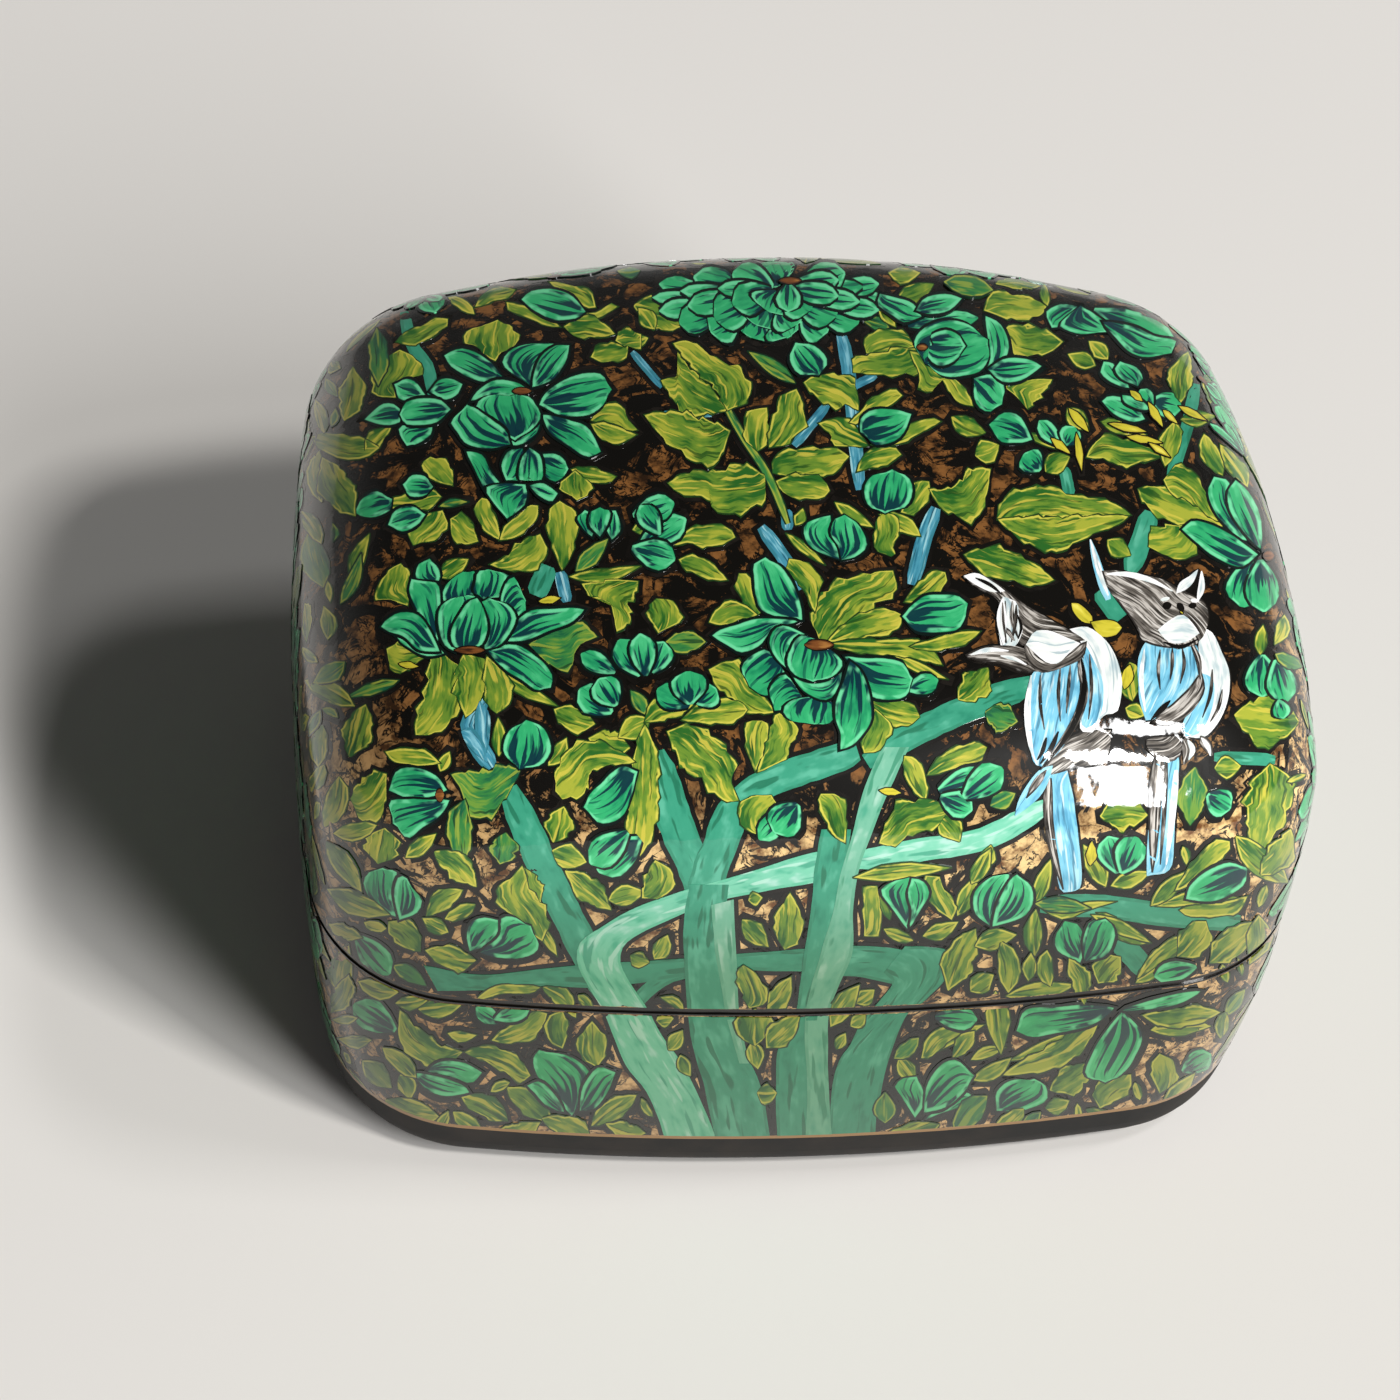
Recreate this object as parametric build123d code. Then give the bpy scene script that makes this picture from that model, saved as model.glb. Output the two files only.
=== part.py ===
from build123d import *
import math
import os

# Lacquered papier-mache box with a lift-off domed lid, in millimetres.
# The origin is the middle of the underside. X runs along the width, -Y is the front, +Z is up.

# Outside form
width = 126.0
depth = 105.0
height = 79.0
seam_height = 36.0
belly_height = 44.0
corner_radius = 20.0
side_bow_radius = 315.0
end_bow_radius = 285.0
crown_radius = 215.0
shoulder_radius = 18.0
foot_radius = 6.0

# How far the wall has drawn in at the level of the crown and at the underside
shoulder_draw = 9.5
foot_draw = 3.5
draw_power = 3.0

# Layers of the wall, from the outside in
paint_thickness = 0.5
chalk_thickness = 0.7
pulp_thickness = 2.4
lining_thickness = 0.4

# Black rims that meet at the seam, and the black foot
rim_thickness = 0.4
rim_recess = 0.2
foot_band_height = 8.5

# Collar glued inside the base, over which the lid fits
collar_thickness = 1.8
collar_rise = 7.0
collar_depth = 12.0
collar_round = 0.6
lid_clearance = 0.35

# Depth of each layer's inner face under the outside
chalk_face = paint_thickness
pulp_face = chalk_face + chalk_thickness
lining_face = pulp_face + pulp_thickness
inside_face = lining_face + lining_thickness
collar_fit_face = inside_face + lid_clearance
collar_inside_face = collar_fit_face + collar_thickness

# Heights of the wall's sections, as shares of the way from the belly to the underside and to the crown
foot_shares = [1.0, 0.8, 0.55, 0.25]
crown_shares = [0.0, 0.25, 0.5, 0.75, 1.0]

# The least material that a rounding leaves beside it, as a share of the corner it runs round
rounding_share = 0.95


def wall_draw(level):
    """Return how far the wall has drawn in from its belly at a height."""
    if level < belly_height:
        return foot_draw * ((belly_height - level) / belly_height) ** draw_power
    return shoulder_draw * ((level - belly_height) / (height - belly_height)) ** draw_power


def arc(centre_x, centre_y, radius, start, end, level):
    """Return the arc of a circle between two angles in radians, at a height."""
    points = []
    for turn in (start, (start + end) / 2, end):
        points.append((centre_x + radius * math.cos(turn), centre_y + radius * math.sin(turn), level))
    return Edge.make_three_point_arc(*points)


def section(level, inset):
    """Return the plan at a height: bowed sides and bowed ends, joined by tangent corners."""
    draw = wall_draw(level)
    narrowing = 1 - draw / (width / 2)
    corner = corner_radius * narrowing - inset
    side = side_bow_radius * narrowing - inset
    end = end_bow_radius * narrowing - inset

    # The corner's centre lies where circles about the centres of the two bows cross.
    side_reach = side - (depth / 2 - draw - inset)
    end_reach = end - (width / 2 - draw - inset)
    span = math.hypot(side_reach, end_reach)
    along = ((side - corner) ** 2 - (end - corner) ** 2 + span ** 2) / (2 * span)
    across = math.sqrt((side - corner) ** 2 - along ** 2)
    corner_x = (across * side_reach - along * end_reach) / span
    corner_y = (along * side_reach + across * end_reach) / span - side_reach
    low_turn = math.atan2(corner_y, corner_x + end_reach)
    high_turn = math.atan2(corner_y + side_reach, corner_x)

    edges = [
        arc(-end_reach, 0, end, -low_turn, low_turn, level),
        arc(corner_x, corner_y, corner, low_turn, high_turn, level),
        arc(0, -side_reach, side, high_turn, math.pi - high_turn, level),
        arc(-corner_x, corner_y, corner, math.pi - high_turn, math.pi - low_turn, level),
        arc(end_reach, 0, end, math.pi - low_turn, math.pi + low_turn, level),
        arc(-corner_x, -corner_y, corner, math.pi + low_turn, math.pi + high_turn, level),
        arc(0, side_reach, side, math.pi + high_turn, 2 * math.pi - high_turn, level),
        arc(corner_x, -corner_y, corner, -high_turn, -low_turn, level),
    ]
    return Wire(edges)


def slab(low, high):
    """Return a block that covers the whole plan between two heights."""
    return Pos(0, 0, (low + high) / 2) * Box(2 * width, 2 * depth, high - low)


def form(inset):
    """Return the closed pillow form of the box, drawn in on all sides by an inset."""
    levels = [belly_height * (1 - share) for share in foot_shares]
    levels += [belly_height + (height - belly_height) * share for share in crown_shares]
    wall = Solid.make_loft([section(level, inset) for level in levels])

    # The ball lies on its side, so that its poles are far from the crown.
    ball = Pos(0, 0, height - crown_radius) * Rot(0, 90, 0) * Sphere(crown_radius - inset)
    body = wall & ball & slab(inset, height)

    # A shoulder can be no larger than the corner that it runs round.
    widest = corner_radius * (1 - shoulder_draw / (width / 2)) / rounding_share
    shoulder = min(shoulder_radius, widest) - inset
    body = fillet(body.faces().sort_by(Axis.Z)[-1].edges(), shoulder)
    if foot_radius > inset:
        body = fillet(body.faces().sort_by(Axis.Z)[0].edges(), foot_radius - inset)
    return body


def layer(outer, inner, low, high):
    """Return the skin between two forms, cut to a range of heights."""
    band = slab(low, high)
    return (outer & band) - inner


outside = form(0)
chalk_form = form(chalk_face)
pulp_form = form(pulp_face)
lining_form = form(lining_face)
inside = form(inside_face)

lid_low = seam_height + rim_thickness
base_high = seam_height - rim_thickness


def lid_lining():
    """Black lacquered lining of the lid, turned out over its lower edge."""
    rim = layer(form(rim_recess), inside, seam_height, lid_low)
    return rim + layer(lining_form, inside, lid_low, height)


def base_lining():
    """Black lacquered lining of the base, turned out over its upper edge."""
    rim = layer(form(rim_recess), inside, base_high, seam_height)
    return rim + layer(lining_form, inside, 0, base_high)


def locating_collar():
    """Strip glued inside the base that stands up into the lid."""
    hollow = form(collar_inside_face)
    seated = layer(inside, hollow, seam_height - collar_depth, seam_height)
    standing = layer(form(collar_fit_face), hollow, seam_height, seam_height + collar_rise)
    collar = seated + standing
    top = collar.faces().sort_by(Axis.Z)[-1]
    return fillet(top.edges(), collar_round)


def foot_coat():
    """Black lacquer of the underside, turned up round the foot."""
    return layer(outside, chalk_form, 0, foot_band_height)


parts = {
    "lid_painted_coat": layer(outside, chalk_form, lid_low, height),
    "lid_chalk_ground": layer(chalk_form, pulp_form, lid_low, height),
    "lid_pulp_shell": layer(pulp_form, lining_form, lid_low, height),
    "lid_lining": lid_lining(),
    "base_painted_coat": layer(outside, chalk_form, foot_band_height, base_high),
    "base_chalk_ground": layer(chalk_form, pulp_form, 0, base_high),
    "base_pulp_shell": layer(pulp_form, lining_form, 0, base_high),
    "base_lining": base_lining(),
    "locating_collar": locating_collar(),
    "foot_coat": foot_coat(),
}

os.makedirs("parts", exist_ok=True)
for name, solid in parts.items():
    solid.label = name
    export_step(solid, os.path.join("parts", name + ".step"))
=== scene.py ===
import math
import random

import bmesh
import bpy
import numpy as np
from mathutils import Matrix, Quaternion, Vector
from mathutils.bvhtree import BVHTree


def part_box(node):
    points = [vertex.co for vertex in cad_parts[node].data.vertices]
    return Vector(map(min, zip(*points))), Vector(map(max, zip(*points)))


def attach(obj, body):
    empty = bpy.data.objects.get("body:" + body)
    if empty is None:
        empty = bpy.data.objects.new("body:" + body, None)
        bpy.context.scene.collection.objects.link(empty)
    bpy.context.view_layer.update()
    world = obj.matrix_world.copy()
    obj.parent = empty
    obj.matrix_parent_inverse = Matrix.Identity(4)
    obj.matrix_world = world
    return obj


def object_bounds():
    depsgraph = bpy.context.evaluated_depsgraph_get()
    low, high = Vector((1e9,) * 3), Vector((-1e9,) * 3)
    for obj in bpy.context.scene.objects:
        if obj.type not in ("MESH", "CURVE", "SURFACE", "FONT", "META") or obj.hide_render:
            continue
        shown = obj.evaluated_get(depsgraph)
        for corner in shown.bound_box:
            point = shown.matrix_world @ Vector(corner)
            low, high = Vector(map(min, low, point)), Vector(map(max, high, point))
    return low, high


# A papier-mache box painted with flowers, leaves and two crested birds under clear varnish.
# The painting is thin raised paint on the CAD skin, laid out in the photograph's own pixels.
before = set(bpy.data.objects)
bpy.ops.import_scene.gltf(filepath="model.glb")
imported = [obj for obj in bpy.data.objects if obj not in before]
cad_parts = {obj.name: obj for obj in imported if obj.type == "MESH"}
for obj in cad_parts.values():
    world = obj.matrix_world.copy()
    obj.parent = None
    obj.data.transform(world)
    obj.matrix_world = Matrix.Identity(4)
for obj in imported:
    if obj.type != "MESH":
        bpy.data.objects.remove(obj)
cad_low, cad_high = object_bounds()

MM = 0.001
HALF_WIDTH = (cad_high.x - cad_low.x) / 2

# The photograph's frame and the camera that was matched to it
PHOTO = 1400
CAMERA_AZIMUTH = math.radians(-8.871)
CAMERA_ELEVATION = math.radians(46.206)
CAMERA_ROLL = math.radians(5.524)
CAMERA_DISTANCE = 7.770 * HALF_WIDTH
CAMERA_TARGET = Vector((-0.158, 0.060, 0.5)) * HALF_WIDTH
CAMERA_FOCAL_SHARE = 2.665
SENSOR = 36.0

# Heights of the painted fields on the walls
FOOT_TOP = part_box("foot_coat")[1].z
SEAM_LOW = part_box("base_painted_coat")[1].z
SEAM_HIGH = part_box("lid_painted_coat")[0].z

LINE_HEIGHT = 0.8 * MM
SEAM_MARGIN = 0.4 * MM

random.seed(11)


# Camera

def camera_axes():
    """Return the camera's backward, right and up directions."""
    back = Vector((
        math.sin(CAMERA_AZIMUTH) * math.cos(CAMERA_ELEVATION),
        -math.cos(CAMERA_AZIMUTH) * math.cos(CAMERA_ELEVATION),
        math.sin(CAMERA_ELEVATION),
    ))
    level = Vector((math.cos(CAMERA_AZIMUTH), math.sin(CAMERA_AZIMUTH), 0))
    upright = back.cross(level)
    right = math.cos(CAMERA_ROLL) * level + math.sin(CAMERA_ROLL) * upright
    return back, right, back.cross(right)


BACK, RIGHT, UP = camera_axes()
EYE = CAMERA_TARGET + BACK * CAMERA_DISTANCE


def make_camera():
    """Add the camera at the photograph's angle."""
    data = bpy.data.cameras.new("camera")
    data.sensor_width = SENSOR
    data.lens = SENSOR * CAMERA_FOCAL_SHARE
    camera = bpy.data.objects.new("camera", data)
    turn = Matrix((RIGHT, UP, BACK)).transposed().to_4x4()
    camera.matrix_world = Matrix.Translation(EYE) @ turn
    bpy.context.scene.collection.objects.link(camera)
    bpy.context.scene.camera = camera


make_camera()


# Materials

def linear(hex_colour):
    """Turn an sRGB hex colour into linear values."""
    values = []
    for start in (1, 3, 5):
        share = int(hex_colour[start:start + 2], 16) / 255
        values.append(share / 12.92 if share <= 0.04045 else ((share + 0.055) / 1.055) ** 2.4)
    return (*values, 1.0)


def add(tree, kind, settings=None, output=None, **inputs):
    """Add a node with its settings and links. An input is named, or _N for the one at place N."""
    made = tree.nodes.new(kind)
    for name, value in (settings or {}).items():
        setattr(made, name, value)
    for name, value in inputs.items():
        socket = made.inputs[int(name[1:])] if name[0] == "_" else made.inputs[name.replace("_", " ")]
        if isinstance(value, bpy.types.NodeSocket):
            tree.links.new(value, socket)
        else:
            socket.default_value = value
    return made.outputs[output or (2 if kind == "ShaderNodeMix" else 0)]


def new_material(name, roughness, coat=1.0, coat_roughness=0.05, wave=0.042 * MM):
    """Make a material of paint under varnish and return it with its tree and shader."""
    material = bpy.data.materials.new(name)
    material.use_nodes = True
    shader = material.node_tree.nodes["Principled BSDF"]
    shader.inputs["Roughness"].default_value = roughness
    shader.inputs["IOR"].default_value = 1.5
    shader.inputs["Specular IOR Level"].default_value = 0.5 - 0.4 * coat
    shader.inputs["Coat Weight"].default_value = coat
    shader.inputs["Coat Roughness"].default_value = coat_roughness
    shader.inputs["Coat IOR"].default_value = 1.5
    if coat:
        # Hand-brushed varnish is never quite flat, so its highlights have uneven edges
        tree = material.node_tree
        place = add(tree, "ShaderNodeTexCoord", output="Object")
        swell = add(tree, "ShaderNodeTexNoise", Vector=place, Scale=0.36 / MM, Detail=2.0)
        swell = add(tree, "ShaderNodeBump", Distance=wave, Height=swell)
        tree.links.new(swell, shader.inputs["Coat Normal"])
    return material, material.node_tree, shader


def math_node(operation, clamp=False):
    """Return the settings of a maths node."""
    return {"operation": operation, "use_clamp": clamp}


SMOOTH = {"interpolation_type": "SMOOTHSTEP"}
COLOUR_MIX = {"data_type": "RGBA"}
INK = "#0c0a07"


def ground_lacquer(name):
    """Black lacquer ground clouded with gold-brown paint that is split by fine cracks. Low on the lid's walls, towards
    the front and the right, the clouds turn bright gold, partly their own gold and partly painted light; to the left
    and down the base they dim as painted shade.
    """
    material, tree, shader = new_material(name, 0.42)
    place = add(tree, "ShaderNodeTexCoord", output="Object")
    height = add(tree, "ShaderNodeSeparateXYZ", output="Z", Vector=place)
    # Gold gathers low on the lid's walls, towards the front and towards the right: partly the ground's own gold, partly
    # painted light. It dims to the left as painted shade.
    low = add(tree, "ShaderNodeMapRange", SMOOTH, Value=height, From_Min=72 * MM, From_Max=62 * MM)
    depth = add(tree, "ShaderNodeSeparateXYZ", output="Y", Vector=place)
    front = add(tree, "ShaderNodeMapRange", SMOOTH, Value=depth, From_Min=-6 * MM, From_Max=-30 * MM)
    aside = add(tree, "ShaderNodeSeparateXYZ", output="X", Vector=place)
    painted_light_by_side = add(tree, "ShaderNodeMapRange", SMOOTH, Value=aside, From_Min=-50 * MM, From_Max=-8 * MM, To_Min=0.45)
    gold_and_painted_light = add(tree, "ShaderNodeMath", math_node("MULTIPLY"), _0=low, _1=front)
    low = add(tree, "ShaderNodeMath", math_node("MULTIPLY"), _0=gold_and_painted_light, _1=painted_light_by_side)
    # Further down the walls the gold dims: painted shade.
    painted_shade_down_walls = add(tree, "ShaderNodeMapRange", SMOOTH, Value=height, From_Min=40 * MM, From_Max=60 * MM, To_Min=0.5)
    low = add(tree, "ShaderNodeMath", math_node("MULTIPLY"), _0=low, _1=painted_shade_down_walls)
    island = add(tree, "ShaderNodeTexNoise", Vector=place, Scale=0.2 / MM, Detail=6.0, Roughness=0.66,
                 Distortion=1.0)
    island = add(tree, "ShaderNodeMath", math_node("MULTIPLY_ADD"), _0=gold_and_painted_light, _1=0.08, _2=island)
    mask = add(tree, "ShaderNodeMapRange", SMOOTH, Value=island, From_Min=0.497, From_Max=0.535)
    crack = add(tree, "ShaderNodeTexNoise", Vector=place, Scale=0.22 / MM, Detail=4.0, Roughness=0.62,
                Distortion=1.2)
    crack = add(tree, "ShaderNodeMath", math_node("SUBTRACT"), _0=crack, _1=0.5)
    crack = add(tree, "ShaderNodeMath", math_node("ABSOLUTE"), _0=crack)
    crack = add(tree, "ShaderNodeMapRange", SMOOTH, Value=crack, From_Min=0.004, From_Max=0.026)
    mask = add(tree, "ShaderNodeMath", math_node("MULTIPLY"), _0=mask, _1=crack)
    mottle = add(tree, "ShaderNodeTexNoise", Vector=place, Scale=0.42 / MM, Detail=4.0, Roughness=0.66)
    mottle = add(tree, "ShaderNodeMapRange", SMOOTH, Value=mottle, From_Min=0.36, From_Max=0.62)
    brown_and_painted_shade = add(tree, "ShaderNodeMix", COLOUR_MIX, _0=mottle, _6=linear("#2a1a0d"), _7=linear("#85582d"))
    gold_in_painted_light = add(tree, "ShaderNodeMix", COLOUR_MIX, _0=mottle, _6=linear("#6b431f"), _7=linear("#f2cd8e"))
    tint = add(tree, "ShaderNodeMix", COLOUR_MIX, _0=low, _6=brown_and_painted_shade, _7=gold_in_painted_light)
    colour = add(tree, "ShaderNodeMix", COLOUR_MIX, _0=mask, _6=linear(INK), _7=tint)
    line = add(tree, "ShaderNodeMapRange", SMOOTH, Value=height, From_Min=FOOT_TOP + LINE_HEIGHT,
               From_Max=FOOT_TOP + 0.8 * LINE_HEIGHT)
    colour = add(tree, "ShaderNodeMix", COLOUR_MIX, _0=line, _6=colour, _7=linear("#8f6a3a"))
    # The parting line is left black
    seam = add(tree, "ShaderNodeMath", math_node("SUBTRACT"), _0=height, _1=(SEAM_LOW + SEAM_HIGH) / 2)
    seam = add(tree, "ShaderNodeMath", math_node("ABSOLUTE"), _0=seam)
    seam = add(tree, "ShaderNodeMapRange", SMOOTH, Value=seam, From_Min=0.75 * MM, From_Max=0.6 * MM)
    colour = add(tree, "ShaderNodeMix", COLOUR_MIX, _0=seam, _6=colour, _7=linear("#080706"))
    tree.links.new(colour, shader.inputs["Base Color"])
    return material


def black_lacquer(name, roughness=0.3, coat=0.6):
    """Black lacquer brushed over paper: nearly black, with faint brown cloudiness."""
    material, tree, shader = new_material(name, roughness, coat, 0.08)
    place = add(tree, "ShaderNodeTexCoord", output="Object")
    cloud = add(tree, "ShaderNodeTexNoise", Vector=place, Scale=0.12 / MM, Detail=6.0, Roughness=0.6)
    share = add(tree, "ShaderNodeMapRange", SMOOTH, Value=cloud, From_Min=0.35, From_Max=0.75)
    colour = add(tree, "ShaderNodeMix", COLOUR_MIX, _0=share, _6=linear("#0b0a09"), _7=linear("#241d17"))
    tree.links.new(colour, shader.inputs["Base Color"])
    grain = add(tree, "ShaderNodeTexNoise", Vector=place, Scale=1.2 / MM, Detail=3.0)
    bump = add(tree, "ShaderNodeBump", Strength=0.15, Distance=0.05 * MM, Height=grain)
    tree.links.new(bump, shader.inputs["Normal"])
    return material


def dry_layer(name, roughness, dark, light, stretch):
    """Unvarnished dry material in two close tones, with a grain of its own direction."""
    material, tree, shader = new_material(name, roughness, coat=0.0)
    place = add(tree, "ShaderNodeTexCoord", output="Object")
    place = add(tree, "ShaderNodeVectorMath", {"operation": "MULTIPLY"}, _0=place, _1=stretch)
    grain = add(tree, "ShaderNodeTexNoise", Vector=place, Scale=0.5 / MM, Detail=6.0, Roughness=0.65,
                Distortion=0.8)
    share = add(tree, "ShaderNodeMapRange", SMOOTH, Value=grain, From_Min=0.35, From_Max=0.65)
    colour = add(tree, "ShaderNodeMix", COLOUR_MIX, _0=share, _6=linear(dark), _7=linear(light))
    tree.links.new(colour, shader.inputs["Base Color"])
    bump = add(tree, "ShaderNodeBump", Strength=0.4, Distance=0.08 * MM, Height=grain)
    tree.links.new(bump, shader.inputs["Normal"])
    return material


def brushwork(name, shade, body, light, edge, contrast=0.8, dark_line=None, light_line=None,
              hatch_colour=None, outline=0.5, edge_width=1.0, rise=0.5, lean=0.0, fineness=2.0,
              contour=INK):
    """Opaque brush paint under varnish. Streaks run along each stroke, from a shaded base to a light tip,
    with thin dark and light lines, a lighter edge and a contour. A hatched stroke is dark at its base.
    Lower down the walls every colour is darkened as painted shade."""
    material, tree, shader = new_material(name, 0.45)
    way = add(tree, "ShaderNodeAttribute", {"attribute_name": "way"})
    share = add(tree, "ShaderNodeAttribute", {"attribute_name": "share"})
    along, across, seed, along_share, across_share, rim = (
        add(tree, "ShaderNodeSeparateXYZ", output=axis, Vector=vector) for vector in (way, share)
        for axis in "XYZ")

    # Long brush marks and soft patches, different on every stroke
    stretch = add(tree, "ShaderNodeVectorMath", {"operation": "MULTIPLY"}, _0=way,
                  _1=(0.24, fineness, 41.0))
    streak = add(tree, "ShaderNodeTexNoise", Vector=stretch, Scale=1.0, Detail=2.5, Roughness=0.58)
    patch = add(tree, "ShaderNodeVectorMath", {"operation": "MULTIPLY"}, _0=way, _1=(0.35, 0.5, 17.0))
    cloud = add(tree, "ShaderNodeTexNoise", Vector=patch, Scale=1.0, Detail=2.0, Roughness=0.5)

    # Tone: lighter to the tip and to one side, and different from stroke to stroke
    tone = add(tree, "ShaderNodeMath", math_node("MULTIPLY_ADD"), _0=along_share, _1=rise, _2=-0.5 * rise)
    tone = add(tree, "ShaderNodeMath", math_node("MULTIPLY_ADD"), _0=across_share, _1=lean, _2=tone)
    tone = add(tree, "ShaderNodeMath", math_node("MULTIPLY_ADD"), _0=seed, _1=0.3, _2=tone)
    tone = add(tree, "ShaderNodeMath", math_node("MULTIPLY_ADD"), _0=streak, _1=2.6 * contrast, _2=tone)
    tone = add(tree, "ShaderNodeMath", math_node("MULTIPLY_ADD"), _0=cloud, _1=1.8, _2=tone)
    middle = 1.05 + 1.3 * contrast
    dark_share = add(tree, "ShaderNodeMapRange", SMOOTH, Value=tone, From_Min=middle - 0.62,
                     From_Max=middle - 0.02)
    light_share = add(tree, "ShaderNodeMapRange", SMOOTH, Value=tone, From_Min=middle + 0.02,
                      From_Max=middle + 0.52)
    colour = add(tree, "ShaderNodeMix", COLOUR_MIX, _0=dark_share, _6=linear(shade), _7=linear(body))
    colour = add(tree, "ShaderNodeMix", COLOUR_MIX, _0=light_share, _6=colour, _7=linear(light))

    fine = add(tree, "ShaderNodeVectorMath", {"operation": "MULTIPLY"}, _0=way,
               _1=(0.17, 1.2 * fineness, 23.0))
    for line_colour, offset, low, high in ((dark_line, 3.1, 0.60, 0.66), (light_line, 8.7, 0.58, 0.65)):
        if line_colour:
            moved = add(tree, "ShaderNodeVectorMath", _0=fine, _1=(offset, offset, offset))
            line = add(tree, "ShaderNodeTexNoise", Vector=moved, Scale=1.0, Detail=1.5, Roughness=0.5)
            line = add(tree, "ShaderNodeMapRange", SMOOTH, Value=line, From_Min=low, From_Max=high,
                       To_Max=0.8)
            colour = add(tree, "ShaderNodeMix", COLOUR_MIX, _0=line, _6=colour, _7=linear(line_colour))

    if hatch_colour:
        # Pointed strokes that run out from the base and stop at uneven lengths
        fan = add(tree, "ShaderNodeMath", math_node("MULTIPLY_ADD"), _0=across_share, _1=3.6, _2=seed)
        fan = add(tree, "ShaderNodeMath", math_node("MULTIPLY_ADD"), _0=seed, _1=37.0, _2=fan)
        fan_line = add(tree, "ShaderNodeTexNoise", {"noise_dimensions": "1D"}, W=fan, Scale=1.0, Detail=1.0)
        reach = add(tree, "ShaderNodeMath", math_node("MULTIPLY_ADD"), _0=fan_line, _1=1.9, _2=-0.60)
        reach = add(tree, "ShaderNodeMath", math_node("MULTIPLY_ADD"), _0=cloud, _1=0.5, _2=reach)
        gap = add(tree, "ShaderNodeMath", math_node("SUBTRACT"), _0=reach, _1=along_share)
        hatching = add(tree, "ShaderNodeMapRange", SMOOTH, Value=gap, From_Min=0.08, From_Max=0.22,
                       To_Max=0.95)
        colour = add(tree, "ShaderNodeMix", COLOUR_MIX, _0=hatching, _6=colour, _7=linear(hatch_colour))

    inner = add(tree, "ShaderNodeMapRange", SMOOTH, Value=rim, From_Min=edge_width, From_Max=0.7 * edge_width)
    broken = add(tree, "ShaderNodeMapRange", SMOOTH, Value=cloud, From_Min=0.40, From_Max=0.55)
    edge_share = add(tree, "ShaderNodeMath", math_node("MULTIPLY"), _0=inner, _1=broken)
    colour = add(tree, "ShaderNodeMix", COLOUR_MIX, _0=edge_share, _6=colour, _7=linear(edge))

    if outline:
        ragged = add(tree, "ShaderNodeMath", math_node("MULTIPLY_ADD"), _0=cloud, _1=-0.5 * outline, _2=rim)
        line = add(tree, "ShaderNodeMapRange", SMOOTH, Value=ragged, From_Min=0.75 * outline,
                   From_Max=0.4 * outline)
        colour = add(tree, "ShaderNodeMix", COLOUR_MIX, _0=line, _6=colour, _7=linear(contour))
    # Lower down the walls every colour is darkened towards grey-brown: painted shade.
    place = add(tree, "ShaderNodeTexCoord", output="Object")
    height = add(tree, "ShaderNodeSeparateXYZ", output="Z", Vector=place)
    brown_and_painted_shade = add(tree, "ShaderNodeMapRange", SMOOTH, Value=height, From_Min=64 * MM, From_Max=40 * MM)
    colour = add(tree, "ShaderNodeMix", {"data_type": "RGBA", "blend_type": "MULTIPLY"}, _0=brown_and_painted_shade, _6=colour,
                 _7=linear("#c6c9b8"))
    tree.links.new(colour, shader.inputs["Base Color"])
    bump = add(tree, "ShaderNodeBump", Strength=0.25, Distance=0.06 * MM, Height=streak)
    tree.links.new(bump, shader.inputs["Normal"])
    return material


# Opaque water-based colours bound with glue, brushed on by hand, then varnished
PAINTS = {
    "leaf": brushwork("leaf_green", "#2a6424", "#6a8d2f", "#a6ad3a", "#cfc950", 1.05, "#1f4c1a", "#cfc24a",
                      outline=0.22, edge_width=0.5, rise=0.8, lean=0.35, fineness=1.5, contour="#20401a"),
    "deep": brushwork("deep_leaf_green", "#175c3e", "#37803f", "#6c963b", "#a3ad43", 0.9, "#0f3922",
                      "#93a73f", outline=0.24, edge_width=0.5, rise=0.6, lean=0.2, fineness=1.5,
                      contour="#10301d"),
    "petal": brushwork("petal_emerald", "#15855a", "#32ae6f", "#4cc483", "#6edba0", 0.5, "#12634e", None,
                       "#05293b", outline=0.50, edge_width=1.1, rise=0.5, fineness=1.3, contour="#081714"),
    "stem": brushwork("stem_turquoise", "#258468", "#3b9b7c", "#5cb597", "#318a6c", 0.45, "#1d6c4f",
                      None, outline=0.0, edge_width=0.5, rise=0.0, fineness=0.7),
    "pale": brushwork("stem_pale_turquoise", "#4ea486", "#76b99c", "#a4d0bb", "#62ab8c", 0.45, "#338a69",
                      None, outline=0.0, edge_width=0.5, rise=0.0, fineness=0.6),
    "branch": brushwork("branch_mint", "#4bb491", "#7bceae", "#afe0cf", "#66c39f", 0.5, "#3a9f80",
                        "#b9e6d4", outline=0.0, edge_width=0.5, rise=0.0, fineness=0.8),
    "twig": brushwork("twig_blue", "#276c84", "#4794aa", "#82c2d0", "#377f8e", 0.9, "#1e4d5e", "#a8dbe0",
                      outline=0.0, edge_width=0.5, rise=0.0),
    "heart": brushwork("flower_heart_brown", "#3a2012", "#7d4a24", "#a9743a", "#5a3318", outline=0.2,
                       edge_width=0.4),
    "spark": brushwork("yellow_dab", "#a9a22c", "#d3c63a", "#ece05e", "#c9b83a", outline=0.2, edge_width=0.4),
    "blue": brushwork("bird_blue", "#5aa3c4", "#80cbe6", "#b2e6f4", "#9ad6e8", 0.9, "#3f7894", "#d8f2f6",
                      outline=0.0, edge_width=0.4, rise=0.0, fineness=1.6),
    "white": brushwork("bird_white", "#bcd0d4", "#eff3ef", "#ffffff", "#ffffff", 0.7, "#9fb6bd",
                       outline=0.0, edge_width=0.3, rise=0.0, fineness=1.6),
    "hatch": brushwork("bird_grey_hatch", "#2b2723", "#6c665f", "#c4beb6", "#2e2a26", 1.5, "#14110f",
                       "#e8e3db", outline=0.0, edge_width=0.3, rise=0.0, fineness=3.0),
    "ink": brushwork("ink_line", "#0c0a07", "#110e0b", "#1d1915", "#0c0a07", outline=0.0, edge_width=0.1),
    "side_ink": brushwork("side_ink_line", "#0c0a07", "#110e0b", "#1d1915", "#0c0a07", outline=0.0,
                          edge_width=0.1),
}


# The skin that the paint lies on

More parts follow.
